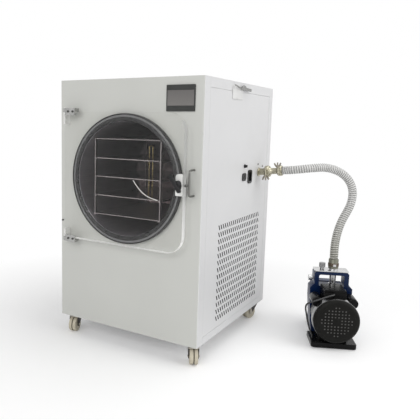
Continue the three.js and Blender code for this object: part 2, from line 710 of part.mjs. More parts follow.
// Motor can with legs, terminal box and two capacitor covers; the can runs into the fan cover.
function pumpMotor() {
  const { r, z, v0, v1 } = MOTOR;
  const can = revolve('y', [[0, v0], [r - 3, v0], [r, v0 + 3], [r, v1 - 4], [r - 6, v1], [0, v1]], 0, z, 20);
  const legs = [[-44, -30], [30, 44]].map(([a, b]) => block(a, b, 24, 78, 20 + GAP, 60));
  const box = prismY(plate(-38, 34, 150, 196, [0.5, 0.5, 6, 6]), 18, 92, 2);
  const caps = [-1, 1].map((s) => revolve('y', [
    [0, 22], [17, 22], [17, 85], [13, 90], [0, 90],
  ], s * 57, 151, 10));
  return join(can, ...legs, box, ...caps);
}

// Fan cover: a dished black cap with square air holes in a round field and a blank hub.
function fanCover() {
  const { z, v0 } = MOTOR;
  const { r, near, holes, pitch, side } = COVER;
  const hold = MOTOR.r + GAP;
  const cap = revolve('y', [
    [0, near], [r - 12, near], [r - 3, near + 5], [r, near + 14], [r, v0 + 13], [hold, v0 + 13],
    [hold, near + 9], [r - 14, near + 2.5], [0, near + 2.5],
  ], 0, z, 20);
  const pins = [];
  for (let i = 0; i < holes; i += 1) {
    for (let k = 0; k < holes; k += 1) {
      const a = (i - (holes - 1) / 2) * pitch;
      const b = (k - (holes - 1) / 2) * pitch;
      const d = Math.hypot(a, b) / pitch;
      if (d > 0.8 && d < 4.6) {
        pins.push(block(a - side / 2, a + side / 2, near - 3, near + 5, z + b - side / 2, z + b + side / 2));
      }
    }
  }
  return cut(cap, ...pins);
}

// Blue casting: shoulders, hoop handle with a see-through window, and a ribbed foot.
function pumpCasting() {
  const v0 = 100.3;
  const right = [[58, 20 + GAP], [64, 60], [70, 140], [70, 178], [57, 190], [57, 229], [51, 235]];
  const hoop = polygon([...right, ...right.map(([a, b]) => [-a, b]).reverse()]);
  hoop.holes.push(plate(-42, 42, 184, 224, 6));
  const body = prismY(hoop, v0, v0 + 52, 2);
  const rear = prismY(plate(-54, 54, 20 + GAP, 176, [0.5, 0.5, 16, 16]), v0 + 50, v0 + 96, 1);
  const rib = polygon([[-60, 30], [60, 30], [60, 168], [46, 182], [-46, 182], [-60, 168]]);
  const ribs = [v0 + 60, v0 + 78].map((v) => prismY(rib, v, v + 5));
  const pipe = bar('z', 15.8, 220, 240, INLET.u, INLET.v, 12);
  return cut(join(body, rear, ...ribs), pipe);
}

// Oil case bolted behind the casting, with a round sight glass boss and a drain boss.
function oilCase() {
  const v0 = 196.6;
  const shell = prismY(plate(-46, 46, 24, 168, [8, 8, 20, 20]), v0, v0 + 66, 2);
  const boss = revolve('y', [
    [0, v0 + 60], [20, v0 + 60], [20, v0 + 70], [15, v0 + 70], [15, v0 + 67], [0, v0 + 67],
  ], 0, 84, 12);
  const drain = bar('y', 7, v0 + 60, v0 + 74, 26, 38, 6);
  return join(shell, boss, drain);
}

// Bright top plate with the inlet: a pipe down through the handle, and the clamp and cuff above.
function pumpInlet() {
  const deck = prismZ(plate(-57, 56, 100, 153, 4), 235 + GAP, 238.5, 1);
  const stack = revolve('z', [
    [0, 184 + GAP], [14, 184 + GAP], [14, 190], [11, 192], [11, 220], [15, 222], [15, 242],
    [18, 244], [18, 262], [16.5, 263], [16.5, 276], [0, 276],
  ], INLET.u, INLET.v, 12);
  return join(deck, stack);
}

// Exhaust cap with a scalloped grip.
function exhaustCap() {
  const shape = new THREE.Shape();
  const lobes = 16;
  for (let i = 0; i < lobes; i += 1) {
    const t = (2 * Math.PI * i) / lobes;
    const r = i % 2 ? 10.4 : 9.2;
    const [a, b] = [-30 + r * Math.cos(t), 124 + r * Math.sin(t)];
    if (i === 0) shape.moveTo(a, b);
    else shape.lineTo(a, b);
  }
  const grip = prismZ(shape, 246, 262);
  const neck = bar('z', 7, 238.5 + GAP, 247, -30, 124, 8);
  return join(grip, neck);
}

// Gas ballast valve: a turned knob on the left-hand upright of the casting.
function ballastKnob() {
  return revolve('x', [
    [0, -57 - GAP], [5, -57 - GAP], [5, -62], [9.5, -63], [9.5, -74], [0, -74],
  ], 126, 206, 10);
}

// Motor lead: out of the terminal box, over the fan cover and down the left side to the deck.
function motorLead() {
  return sweep([
    [-6, 17.5, 184], [-6, 10, 184.5], [-14, 0, 184], [-30, -5, 180], [-50, -6, 172], [-70, -3, 162.5],
    [-86, 4, 153], [-94, 11, 143], [-94.5, 17, 128], [-90, 23, 108], [-85, 28, 86], [-79, 32, 64],
    [-72, 34, 44], [-66, 35, 30], [-65.5, 35, 20.5],
  ], 2.8, 15, 8);
}

// ------------------------------------------------------------- vacuum hose
const HOSE_ROUTE = [
  [353.4, 168.7, 576.1], [369, 168.7, 577.9], [389.4, 168.9, 580.2], [409.4, 173.1, 582.9],
  [428.7, 181.1, 585.6], [447.3, 193, 588], [464.8, 208.6, 589.8], [480.8, 227.4, 589.7],
  [496.4, 244.3, 586.2], [511.7, 258.2, 580.3], [526, 269.1, 571.9], [538.8, 277.3, 561],
  [549.5, 283.1, 548], [557.9, 286.5, 532.8], [563.4, 287.7, 516], [565.9, 286.7, 497.9],
  [565.2, 283.7, 478.6], [561.5, 278.4, 458.6], [554.6, 270.7, 438.2], [546.7, 261.2, 418],
  [540.3, 252.5, 397.8], [535.6, 245.8, 377.5], [532.4, 240.4, 357.3], [530.7, 235, 337.3],
  [530.3, 229.5, 317.3], [530.8, 226.1, 297], [530.9, 226.2, 276.4],
];

function vacuumHose() {
  return sweep(HOSE_ROUTE, HOSE_R, 12, 10);
}

// ------------------------------------------------------------------ assembly
const machine = new THREE.Group();
const paintwork = () => paint('#c4c5c0', 0.5);
const sheetwork = () => paint('#d8d9d8', 0.5);
const black = () => paint('#1d1d1f', 0.45);
const steel = () => paint('#b9bcbf', 0.3, 0.9);
const zinc = () => paint('#a9a294', 0.4, 0.8);
const blue = () => paint('#12386f', 0.45);
const nickel = () => paint('#b3ab86', 0.35, 0.8);

addPiece(machine, 'base_pan', basePan(), sheetwork());
addPiece(machine, 'front_panel', frontPanel(), paintwork());
addPiece(machine, 'rear_panel', rearPanel(), sheetwork());
addPiece(machine, 'top_cover', topCover(), sheetwork());
addPiece(machine, 'left_panel', leftPanel(), sheetwork());
addPiece(machine, 'right_panel', rightPanel(), sheetwork());
addPiece(machine, 'chamber', chamber(), paint('#55565a', 0.35, 0.8));
addPiece(machine, 'chamber_cradle', chamberCradle(), zinc());
addPiece(machine, 'door_gasket', doorGasket(), paint('#2b2c2e', 0.6));
addPiece(machine, 'shelf_rack', shelfRack(), steel());
SHELF.z.slice(1, 4).forEach((level, i) => addPiece(machine, `shelf_${i + 1}`, shelf(level), steel()));
addPiece(machine, 'probe_lead', probeLead(), paint('#eceae6', 0.5));
addPiece(machine, 'feed_pipe', feedPipe(), paint('#a58435', 0.35, 0.8));

addPiece(machine, 'screen_bezel', screenBezel(), paint('#3c3e3b', 0.5));
addPiece(machine, 'screen_glass', screenGlass(), paint('#7d7874', 0.2));
addPiece(machine, 'door_striker', doorStriker(), steel());
addPiece(machine, 'door_bumper', doorBumper(), black());
addPiece(machine, 'hinge_bracket_upper', hingeBracket(true), paint('#f0f0ee', 0.5));
addPiece(machine, 'hinge_bracket_lower', hingeBracket(false), paint('#f0f0ee', 0.5));
addPiece(machine, 'door_pane', doorPane(), paint('#e9efec', 0.1));
addPiece(machine, 'hinge_arm_upper', hingeArm(true), steel());
addPiece(machine, 'hinge_arm_lower', hingeArm(false), steel());
addPiece(machine, 'latch_block', latchBlock(), paint('#f2f2f0', 0.5));
addPiece(machine, 'latch_lever', latchLever(), black());
addPiece(machine, 'latch_catch', latchCatch(), steel());

const makers = { power_inlet: powerInlet, pump_outlet: pumpOutlet, fuse_holder: fuseHolder };
for (const socket of SOCKETS) addPiece(machine, socket.name, makers[socket.name](socket), black());
addPiece(machine, 'side_latch_plate', sideLatchPlate(), paint('#cfd0cf', 0.4, 0.3));
addPiece(machine, 'side_latch_lever', sideLatchLever(), black());

addPiece(machine, 'compressor', compressor(), black());
addPiece(machine, 'condenser', condenser(), paint('#8f8f8c', 0.5, 0.6));
addPiece(machine, 'condenser_fan', condenserFan(), black());

addPiece(machine, 'port_pipe', portPipe(), nickel());
const port = new THREE.Group();
port.position.set(halfW, PORT.y, PORT.z);
port.rotation.y = -PORT.tilt;
machine.add(port);
addPiece(port, 'clamp_inner', clampRing(34.15, 20.5, false), nickel());
addPiece(port, 'clamp_outer', clampRing(79.5, 18.5, true), nickel());
const innerNut = addPiece(port, 'wing_nut_inner', wingNut(), steel());
innerNut.position.set(34.15, -26, 0);
innerNut.rotation.x = Math.PI;
const outerNut = addPiece(port, 'wing_nut_outer', wingNut(), steel());
outerNut.position.set(79.5, -24, 0);
addPiece(port, 'port_reducer', portReducer(), nickel());
addPiece(port, 'hose_tail', hoseTail(), nickel());

const headings = { front_left: 15, front_right: 32, rear_right: -20, rear_left: 60 };
for (const [corner, heading] of Object.entries(headings)) {
  const caster = new THREE.Group();
  const sx = corner.endsWith('right') ? 1 : -1;
  const sy = corner.startsWith('front') ? -1 : 1;
  caster.position.set(sx * CASTER.x, sy * CASTER.y, 0);
  caster.rotation.z = THREE.MathUtils.degToRad(heading);
  machine.add(caster);
  addPiece(caster, `fork_${corner}`, casterFork(), zinc());
  addPiece(caster, `wheel_${corner}`, casterWheel(), paint('#c9bda6', 0.6));
}

const pump = new THREE.Group();
pump.position.set(PUMP.x, PUMP.y, 0);
pump.rotation.z = THREE.MathUtils.degToRad(PUMP.turn);
machine.add(pump);
addPiece(pump, 'pump_base', pumpBase(), black());
addPiece(pump, 'pump_motor', pumpMotor(), black());
addPiece(pump, 'pump_fan_cover', fanCover(), black());
addPiece(pump, 'pump_casting', pumpCasting(), blue());
addPiece(pump, 'pump_oil_case', oilCase(), blue());
addPiece(pump, 'pump_inlet', pumpInlet(), steel());
addPiece(pump, 'pump_exhaust', exhaustCap(), steel());
addPiece(pump, 'pump_ballast_knob', ballastKnob(), steel());
addPiece(pump, 'pump_lead', motorLead(), black());
addPiece(machine, 'vacuum_hose', vacuumHose(), paint('#c8c9c6', 0.35));

// The frame's origin: on the floor under the middle of the whole set, the hose left out.
const extent = new THREE.Box3();
machine.updateMatrixWorld(true);
machine.traverse((piece) => {
  if (piece.isMesh && piece.name !== 'vacuum_hose') extent.expandByObject(piece, true);
});
const middle = extent.getCenter(new THREE.Vector3());
machine.position.set(-middle.x, -middle.y, -extent.min.z);

const freezeDryer = new THREE.Group();
freezeDryer.add(machine);
export default freezeDryer;
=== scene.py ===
"""Laboratory freeze dryer on casters, with its side port, vacuum hose and rotary vane pump.

The frame is in metres, +Z up, the door towards -Y. Sizes and places here are in millimetres, in
the axes of the cabinet, the pump or the port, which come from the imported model. Shapes are
surfaces over two parameters, worked out as whole arrays; each function says its formula.
"""

import json
import math

import bmesh
import bpy
import numpy as np
from mathutils import Matrix, Vector

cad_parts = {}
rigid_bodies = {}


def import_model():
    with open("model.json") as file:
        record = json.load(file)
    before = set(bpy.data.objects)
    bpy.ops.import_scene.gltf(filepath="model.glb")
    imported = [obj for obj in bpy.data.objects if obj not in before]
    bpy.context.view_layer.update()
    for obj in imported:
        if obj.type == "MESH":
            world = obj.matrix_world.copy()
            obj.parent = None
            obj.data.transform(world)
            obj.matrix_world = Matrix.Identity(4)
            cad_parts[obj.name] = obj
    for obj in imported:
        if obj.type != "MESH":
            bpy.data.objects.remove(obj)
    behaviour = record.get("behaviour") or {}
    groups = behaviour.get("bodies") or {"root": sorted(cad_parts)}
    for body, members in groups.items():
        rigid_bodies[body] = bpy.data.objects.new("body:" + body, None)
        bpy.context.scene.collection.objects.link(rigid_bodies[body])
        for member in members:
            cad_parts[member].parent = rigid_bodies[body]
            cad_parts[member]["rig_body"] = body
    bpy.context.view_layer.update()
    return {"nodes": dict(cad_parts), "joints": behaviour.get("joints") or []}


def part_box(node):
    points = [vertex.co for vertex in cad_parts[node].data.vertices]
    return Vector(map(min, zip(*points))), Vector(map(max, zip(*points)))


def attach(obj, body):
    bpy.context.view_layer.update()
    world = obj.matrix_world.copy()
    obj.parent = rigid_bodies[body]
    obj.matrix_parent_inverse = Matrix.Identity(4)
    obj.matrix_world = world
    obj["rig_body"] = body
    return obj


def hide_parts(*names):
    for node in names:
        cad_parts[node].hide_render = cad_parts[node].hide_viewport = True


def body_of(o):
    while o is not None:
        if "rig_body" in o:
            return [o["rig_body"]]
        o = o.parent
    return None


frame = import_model()
MM = 0.001
TAU = 2 * math.pi

# ------ places
panel_low, panel_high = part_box("front_panel")
back_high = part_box("rear_panel")[1]
CABINET = np.array([(panel_low.x + panel_high.x) / 2, (panel_low.y + back_high.y) / 2, 0.0])
JOINTS = {joint["name"]: joint for joint in frame["joints"]}


def cabinet(points):
    """Points in millimetres from the middle of the cabinet's footprint, moved into the frame."""
    return np.asarray(points, float) * MM + CABINET


class Axes:
    """A turned set of axes: a point is the origin plus x, y and z times three unit vectors."""

    def __init__(self, place, right, up=(0, 0, 1), local=(0, 0, 0)):
        """The local point, in millimetres, lies at the given place of the frame."""
        self.x = np.asarray(right, float) / np.linalg.norm(right)
        forward = np.cross(up, self.x)
        self.y = forward / np.linalg.norm(forward)
        self.z = np.cross(self.x, self.y)
        self.origin = np.zeros(3)
        self.origin = np.asarray(place, float) - self(local)

    def __call__(self, points):
        p = np.asarray(points, float) * MM
        return self.origin + p[..., :1] * self.x + p[..., 1:2] * self.y + p[..., 2:3] * self.z


# The pump's own axes, from its ballast knob: X across it, Y towards its far end.
KNOB = (-65, 126, 206)
knob = JOINTS["ballast_turn"]
pump = Axes(knob["pos_m"], knob["axis"], local=KNOB)
MOTOR_Z = 101  # height of the motor's axis
COVER_NEAR = -22  # the near face of its fan cover

# The port's own axes, from its wing nut: X runs out along the port, which leans up a little.
NUT = (34.15, -26, 0)
nut = JOINTS["nut_inner_turn"]
port = Axes(nut["pos_m"], np.cross((0, 1, 0), nut["axis"]), nut["axis"], NUT)
PORT = (168.7, 566)  # where the port leaves the panel, in Y and Z

# The chamber, on an axis along Y at X = 0.
CHAMBER_Z = 555
TUBE_END = 44  # where its straight tube ends and the knuckle to its dished back starts
KNUCKLE = 12  # the knuckle's depth, inside
DISH, DISH_DEPTH = 160, 26  # radius and depth of the dished back
MOUTH_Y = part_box("chamber")[0].y  # its mouth, in metres

# The door, from the panel outwards.
FRONT = -282.3  # the front panel's face, with the clearance of what is fixed on it
SEAL = FRONT - 14.7  # the face of the door seal
PANE = 18  # thickness of the clear pane
BLOCK = 8.3  # thickness of the latch block, with its clearances
LATCH = (212, 554)  # the latch's spindle, in X and Z


def put(name, data):
    """A new object in the scene, for a mesh, a lamp or the camera."""
    made = bpy.data.objects.new(name, data)
    bpy.context.scene.collection.objects.link(made)
    return made


# ------ camera
CAMERA = (928.107, -1626.057, 719.827)
LENS, SENSOR = 44.992, 36
SHIFT = (0.15, -0.03)
TURN, DIP, ROLL = (math.radians(v) for v in (32.2435, 7.7162, 1.0824))
look = Vector((-math.sin(TURN) * math.cos(DIP), math.cos(TURN) * math.cos(DIP), -math.sin(DIP)))
right = Vector((math.cos(TURN), math.sin(TURN), 0))
up = right.cross(look)
rolled_right = right * math.cos(ROLL) + up * math.sin(ROLL)
rolled_up = up * math.cos(ROLL) - right * math.sin(ROLL)
facing = Matrix((rolled_right, rolled_up, -look)).transposed().to_4x4()
camera = put("camera", bpy.data.cameras.new("camera"))
camera.matrix_world = Matrix.Translation(cabinet(CAMERA)) @ facing
camera.data.lens = LENS
camera.data.sensor_width = SENSOR
camera.data.shift_x, camera.data.shift_y = SHIFT
camera.data.clip_start, camera.data.clip_end = 0.05, 50
bpy.context.scene.camera = camera


# ------ finishes
class Nodes:
    """A node tree under construction: helper methods add and join its nodes."""

    def __init__(self, tree):
        self.tree = tree

    def node(self, kind, **settings):
        """A new node; each setting is the value of a socket or of a property."""
        made = self.tree.nodes.new("ShaderNode" + kind)
        for key, value in settings.items():
            if key in made.inputs:
                made.inputs[key].default_value = value
            else:
                setattr(made, key, value)
        return made

    def join(self, start, end):
        self.tree.links.new(start, end)

    def pair(self, operation, one, two, **settings):
        """Two values put together by a plain operation."""
        made = self.node("Math", operation=operation, **settings)
        self.join(one, made.inputs[0])
        self.join(two, made.inputs[1])
        return made.outputs[0]

    def mix(self, share, one, two):
        """A shader that goes from one to two with the share."""
        made = self.node("MixShader")
        for output, end in zip((share, one, two), made.inputs):
            self.join(output, end)
        return made.outputs["Shader"]

    def seen_directly(self):
        """1 for the camera's own rays and for those that metal and glass send on."""
        rays = self.node("LightPath").outputs
        either = self.pair("MAXIMUM", rays["Is Camera Ray"], rays["Is Glossy Ray"])
        return self.pair("MAXIMUM", either, rays["Is Transmission Ray"])

    def show(self, shader, output="Material Output"):
        """Shows this shader in place of the plain one."""
        self.join(shader, self.tree.nodes[output].inputs["Surface"])


class Finish(Nodes):
    """A node material that starts from one plain colour, roughness and metalness."""

    def __init__(self, name, colour, roughness, metallic=0.0):
        self.material = bpy.data.materials.new(name)
        self.material.use_nodes = True
        super().__init__(self.material.node_tree)
        self.shader = self.tree.nodes["Principled BSDF"]
        self.place = self.node("TexCoord").outputs["Object"]
        self.colour, self.roughness = colour, roughness
        self.set("Base Color", (*colour, 1))
        self.set("Roughness", roughness)
        self.set("Metallic", metallic)

    def set(self, socket, value):
        self.shader.inputs[socket].default_value = value
        return self

    def noise(self, scale, detail, stretch=(1, 1, 1)):
        """Noise over the piece's own coordinates, drawn out along the axes of small stretch."""
        mapping = self.node("Mapping", Scale=stretch)
        self.join(self.place, mapping.inputs["Vector"])
        made = self.node("TexNoise", Scale=scale, Detail=detail, Roughness=0.55)
        self.join(mapping.outputs["Vector"], made.inputs["Vector"])
        return made.outputs["Fac"]

    def spread(self, value, low, high, start=0.3, end=0.7):
        """Maps start..end of a value to low..high."""
        ends = {"From Min": start, "From Max": end, "To Min": low, "To Max": high}
        made = self.node("MapRange", **ends)
        self.join(value, made.inputs["Value"])
        return made.outputs["Result"]

    def blend(self, share, one, two):
        """A colour that goes from one to two with the share; each is a colour or an output."""
        mix = self.node("Mix", data_type="RGBA")
        self.join(share, mix.inputs["Factor"])
        for socket, colour in (("A", one), ("B", two)):
            if isinstance(colour, tuple):
                mix.inputs[socket].default_value = (*colour, 1)
            else:
                self.join(colour, mix.inputs[socket])
        return mix.outputs["Result"]

    def paint(self, colour):
        self.join(colour, self.shader.inputs["Base Color"])

    def shades(self, value, dark, light):
        """Colour between the finish's own colour times dark and times light."""
        one, two = (tuple(min(1, c * k) for c in self.colour) for k in (dark, light))
        self.paint(self.blend(self.spread(value, 0, 1), one, two))

    def uneven(self, value, by):
        """Roughness that varies by the given amount either way."""
        low, high = max(0.02, self.roughness - by), min(1, self.roughness + by)
        self.join(self.spread(value, low, high), self.shader.inputs["Roughness"])

    def bump(self, value, depth, strength):
        """Relief of the given depth in metres; gives back the finished material."""
        made = self.node("Bump", Strength=strength, Distance=depth)
        self.join(value, made.inputs["Height"])
        self.join(made.outputs["Normal"], self.shader.inputs["Normal"])
        return self.material

    def along(self, axis):
        """One of the piece's own coordinates, in metres."""
        parts = self.node("SeparateXYZ")
        self.join(self.place, parts.inputs["Vector"])
        return parts.outputs[axis]

    def away(self, point):
        """Distance from a point of the frame, in metres."""
        offset = self.node("VectorMath", operation="SUBTRACT")
        self.join(self.place, offset.inputs[0])
        offset.inputs[1].default_value = point
        length = self.node("VectorMath", operation="LENGTH")
        self.join(offset.outputs["Vector"], length.inputs[0])
        return length.outputs["Value"]

    def attribute(self, name):
        return self.node("Attribute", attribute_name=name).outputs["Fac"]


def enamel(name, colour, roughness):
    """Powder coat: orange peel of about a millimetre, and broad, very faint clouds of shade."""
    made = Finish(name, colour, roughness)
    made.shades(made.noise(3.5, 2), 0.98, 1.02)
    made.uneven(made.noise(40, 3), 0.06)
    return made.bump(made.noise(1100, 2), 0.00004, 0.35)


def brushed(name, colour, roughness, stretch):
    """Brushed metal: fine scratches drawn out along the axis of small stretch."""
    made = Finish(name, colour, roughness, 1.0)
    lines = made.noise(900, 3, stretch)
    made.shades(lines, 0.86, 1.1)
    made.uneven(lines, 0.08)
    return made.bump(lines, 0.00003, 0.4)


def chamber_steel():
    """Brushed drum with painted light and shade: painted brightness at the mouth, where the room's
    light reaches it, painted shade towards the dish, and a painted warm glow low in the drum, darker
    at its top.
    """
    made = Finish("chamber_steel", (0.2, 0.19, 0.19), 0.38, 0.85)
    # painted light and shade: pale at the mouth, darker deeper in
    depth = made.spread(made.along("Y"), 0, 1, MOUTH_Y + 0.02, MOUTH_Y + 0.26)
    lines = made.noise(500, 3, (1, 0.02, 1))
    streaks = made.blend(made.spread(lines, 0, 1), (0.86, 0.86, 0.87), (1.1, 1.08, 1.07))
    # painted light: warmer and lighter low in the drum, near black towards its top
    rise = made.spread(made.along("Z"), 0, 1, 0.38, 0.6)
    deep = made.blend(rise, (0.17, 0.125, 0.125), (0.06, 0.052, 0.052))
    shade = made.blend(depth, (0.42, 0.4, 0.43), deep)
    product = made.node("Mix", data_type="RGBA", blend_type="MULTIPLY", Factor=1)
    made.join(shade, product.inputs["A"])
    made.join(streaks, product.inputs["B"])
    made.paint(product.outputs["Result"])
    made.uneven(made.noise(14, 4), 0.1)
    return made.bump(lines, 0.00004, 0.4)


def cast_metal(name, colour, roughness, metallic=0.9):
    """Turned or plated metal with a fine grain and slight tarnish."""
    made = Finish(name, colour, roughness, metallic)
    made.shades(made.noise(35, 4), 0.8, 1.12)
    made.uneven(made.noise(60, 4), 0.09)
    return made.bump(made.noise(260, 3), 0.00005, 0.3)


def plastic(name, colour, roughness, level=0.5):
    """Moulded plastic or paint: fine even grain with a little wear in its shine."""
    made = Finish(name, colour, roughness)
    made.set("Specular IOR Level", level)
    made.shades(made.noise(28, 3), 0.9, 1.08)
    made.uneven(made.noise(70, 4), 0.08)
    return made.bump(made.noise(850, 2), 0.00004, 0.35)


def gloss_paint(name, colour, roughness, grain, depth, coat=0.35, level=0.3):
    """Thick gloss paint over a casting or a pressing, which keeps a little of its roughness."""
    made = Finish(name, colour, roughness)
    made.set("Specular IOR Level", level)
    made.set("Coat Weight", coat)
    made.set("Coat Roughness", 0.12)
    made.shades(made.noise(24, 4), 0.8, 1.2)
    made.uneven(made.noise(45, 4), 0.08)
    return made.bump(made.noise(grain, 3), depth, 0.5)


def rubber():
    """Moulded black rubber with a trace of dust in its hollows."""
    made = Finish("gasket_rubber", (0.012, 0.012, 0.013), 0.24)
    made.set("Specular IOR Level", 0.4)
    dust = made.spread(made.noise(55, 5), 0, 1, 0.45, 0.75)
    made.paint(made.blend(dust, (0.009, 0.009, 0.01), (0.014, 0.014, 0.014)))
    made.uneven(made.noise(120, 3), 0.03)
    return made.bump(made.noise(600, 2), 0.00005, 0.4)


def display():
    """Blank display: a grey glass, paler at its bottom and darker towards its top."""
    made = Finish("display", (0.21, 0.2, 0.19), 0.16)
    low, high = (corner.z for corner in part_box("screen_glass"))
    fall = made.spread(made.along("Z"), 0, 1, low, high)
    made.paint(made.blend(fall, (0.175, 0.167, 0.16), (0.125, 0.118, 0.114)))
    made.uneven(made.noise(30, 3), 0.05)
    return made.bump(made.noise(40, 2), 0.00002, 0.2)


def coil_fins():
    """Coil fins: a painted pool of light round a point low on the coil, pale within it, and painted
    shade, dark, further out.
    """
    made = Finish("coil_aluminium", (0.3, 0.3, 0.3), 0.45, 0.6)
    low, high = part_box("condenser")
    reach = made.away((high.x, (low.y + high.y) / 2, low.z + 0.13))
    painted_light_reach = made.pair("ADD", reach, made.spread(made.noise(16, 3), -0.05, 0.05))
    # painted light, pale within about 6 cm of the point, and painted shade, dark beyond 10 cm
    dust = made.spread(painted_light_reach, 0, 1, 0.06, 0.1)
    made.paint(made.blend(dust, (0.55, 0.55, 0.56), (0.02, 0.02, 0.02)))
    fins = made.noise(700, 2, (1, 1, 0.02))
    made.uneven(fins, 0.1)
    return made.bump(fins, 0.0002, 0.5)


def clear_sheet():
    """Polished clear acrylic: light passes straight through, and its gloss is a clear coat.

    Shadow and scattered light meet a plain tinted clearness in its place.
    """
    tint = (0.96, 0.96, 0.955)
    made = Finish("clear_acrylic", tint, 0.02)
    made.set("Transmission Weight", 1.0).set("IOR", 1.0)
    made.set("Coat Weight", 0.62).set("Coat IOR", 1.35).set("Coat Roughness", 0.03)
    made.uneven(made.noise(6, 3), 0.015)
    rays = made.node("LightPath")
    clear = made.node("BsdfTransparent", Color=(*tint, 1))
    either = made.pair("MAXIMUM", rays.outputs["Is Shadow Ray"], rays.outputs["Is Diffuse Ray"])
    made.show(made.mix(either, made.shader.outputs["BSDF"], clear.outputs["BSDF"]))
    return made.material


def sheet_edge(name, painted_glow):
    """Polished edge of the clear sheet: a painted glow and a paler painted colour, both stronger
    towards its lower end.
    """
    made = Finish(name, (0.8, 0.8, 0.79), 0.35)
    low, high = (corner.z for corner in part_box("door_pane"))
    rise = made.spread(made.along("Z"), 0, 1, low + 0.1 * (high - low), low + 0.6 * (high - low))
    cloud = made.spread(made.noise(90, 3), 0, 1)
    pale = made.blend(cloud, (0.78, 0.78, 0.77), (0.84, 0.84, 0.83))
    made.paint(made.blend(rise, pale, (0.46, 0.465, 0.45)))
    # painted glow: light emitted by the edge, fading out upwards
    made.join(made.blend(rise, (1, 1, 0.98), (0, 0, 0)), made.shader.inputs["Emission Color"])
    made.set("Emission Strength", painted_glow)
    return made.bump(made.noise(700, 2), 0.00003, 0.3)


def hose_finish():
    """Milky clear hose: painted highlight on its wound ridges, painted shade between them, and darker
    and yellower towards its lower end.
    """
    made = Finish("hose_pvc", (0.6, 0.6, 0.585), 0.28)
    made.set("Coat Weight", 0.4).set("Coat Roughness", 0.1)
    mottle = made.spread(made.noise(70, 3), -0.12, 0.12)
    # painted highlight on the ridges and painted shade between them, mottled at random
    ridge = made.pair("ADD", made.attribute("ridge"), mottle, use_clamp=True)
    clear = made.blend(ridge, (0.27, 0.27, 0.262), (0.68, 0.675, 0.66))
    # darker and yellower low down, towards the pump
    darker_low = made.blend(ridge, (0.13, 0.128, 0.105), (0.46, 0.455, 0.41))
    made.paint(made.blend(made.spread(made.along("Z"), 0, 1, 0.3, 0.47), darker_low, clear))
    made.uneven(made.noise(90, 3), 0.06)
    return made.bump(made.noise(400, 2), 0.00005, 0.3)


FINISHES = {
    "chamber_steel": chamber_steel(),
    "display": display(),
    "coil_aluminium": coil_fins(),
    "clear_acrylic": clear_sheet(),
    "hose_pvc": hose_finish(),
    "gasket_rubber": rubber(),
}
for kind, looks in (
    (enamel, {
        # one enamel in two copies: a darker one on the front, painted shade, and a lighter one on the
        # sides, top, back and base, painted light
        "front_enamel": ((0.575, 0.58, 0.55), 0.4),
        "side_enamel": ((0.68, 0.68, 0.685), 0.4),
    }),
    (brushed, {
        "stainless": ((0.29, 0.265, 0.265), 0.34, (0.02, 1, 1)),
        "shelf_steel": ((0.3, 0.27, 0.27), 0.16, (0.02, 1, 1)),
    }),
    (cast_metal, {
        "zinc": ((0.5, 0.47, 0.41), 0.38),
        "brass": ((0.62, 0.5, 0.24), 0.3, 1.0),
        "port_nickel": ((0.5, 0.47, 0.36), 0.22, 0.97),
        "nut_nickel": ((0.37, 0.34, 0.28), 0.28, 0.97),
        "steel": ((0.6, 0.6, 0.6), 0.27, 1.0),
        # near black: painted shade on the side panels' inner faces and the walls of their slots
        "sheet_inside": ((0.03, 0.03, 0.03), 0.6, 0.3),
        # a darker colour than chrome, standing in for the dark surroundings it would reflect: painted
        # reflection
        "cap_chrome": ((0.3, 0.3, 0.3), 0.2, 1.0),
        "pump_silver": ((0.6, 0.6, 0.6), 0.26, 1.0),
        "bolt_dark": ((0.07, 0.068, 0.064), 0.4, 0.8),
        "clamp_band": ((0.1, 0.075, 0.05), 0.5, 0.4),
        # dark cheeks of the caster yokes: painted shade
        "fork_dark": ((0.045, 0.04, 0.036), 0.45, 0.5),
        "striker_steel": ((0.2, 0.2, 0.19), 0.34, 1.0),
        "hinge_steel": ((0.42, 0.42, 0.41), 0.3, 1.0),
        "latch_steel": ((0.3, 0.3, 0.29), 0.3, 0.95),
        "cuff": ((0.19, 0.19, 0.15), 0.45, 0.7),
    }),
    (plastic, {
        "white_plastic": ((0.8, 0.8, 0.78), 0.45),
        "black_plastic": ((0.012, 0.012, 0.013), 0.38, 0.3),
        "bezel_plastic": ((0.04, 0.042, 0.04), 0.5, 0.25),
        "lead_white": ((0.82, 0.8, 0.77), 0.5),
        "lead_black": ((0.02, 0.02, 0.021), 0.25, 0.6),
        "caster_nylon": ((0.56, 0.51, 0.4), 0.5),
        "fan_plastic": ((0.15, 0.147, 0.14), 0.5),
        # pale grey groove of the door seal: painted sheen
        "gasket_web": ((0.17, 0.17, 0.175), 0.35),
        # dark colour of the wheels' groove: painted shade
        "groove_rubber": ((0.11, 0.095, 0.065), 0.6, 0.3),
        "plate_paint": ((0.72, 0.72, 0.71), 0.35),
    }),
    (gloss_paint, {
        "pump_black": ((0.006, 0.006, 0.006), 0.26, 500, 0.00006, 0.05, 0.1),
        "pump_grille": ((0.009, 0.009, 0.008), 0.5, 500, 0.00006, 0, 0.1),
        "pump_rim": ((0.008, 0.008, 0.008), 0.2, 500, 0.00004, 0.8, 0.5),
        "pump_blue": ((0.002, 0.012, 0.052), 0.34, 240, 0.0002, 0.12, 0.15),
        "sight_glass": ((0.42, 0.33, 0.16), 0.1, 60, 0.00002),
    }),
    # strength of each edge's painted glow
    (sheet_edge, {"edge_bright": (0.16,), "edge_faint": (0.03,)}),
):
    for name, look in looks.items():
        FINISHES[name] = kind(name, *look)


# ------ mesh helpers
SHARP = 32  # edges that turn by more than this, in degrees, stay sharp and can be eased
ROUND_STEPS = 2  # segments of an eased edge


def around(sides):
    """Angles of the given number of equal steps round a circle."""
    return np.linspace(0, TAU, sides, endpoint=False)


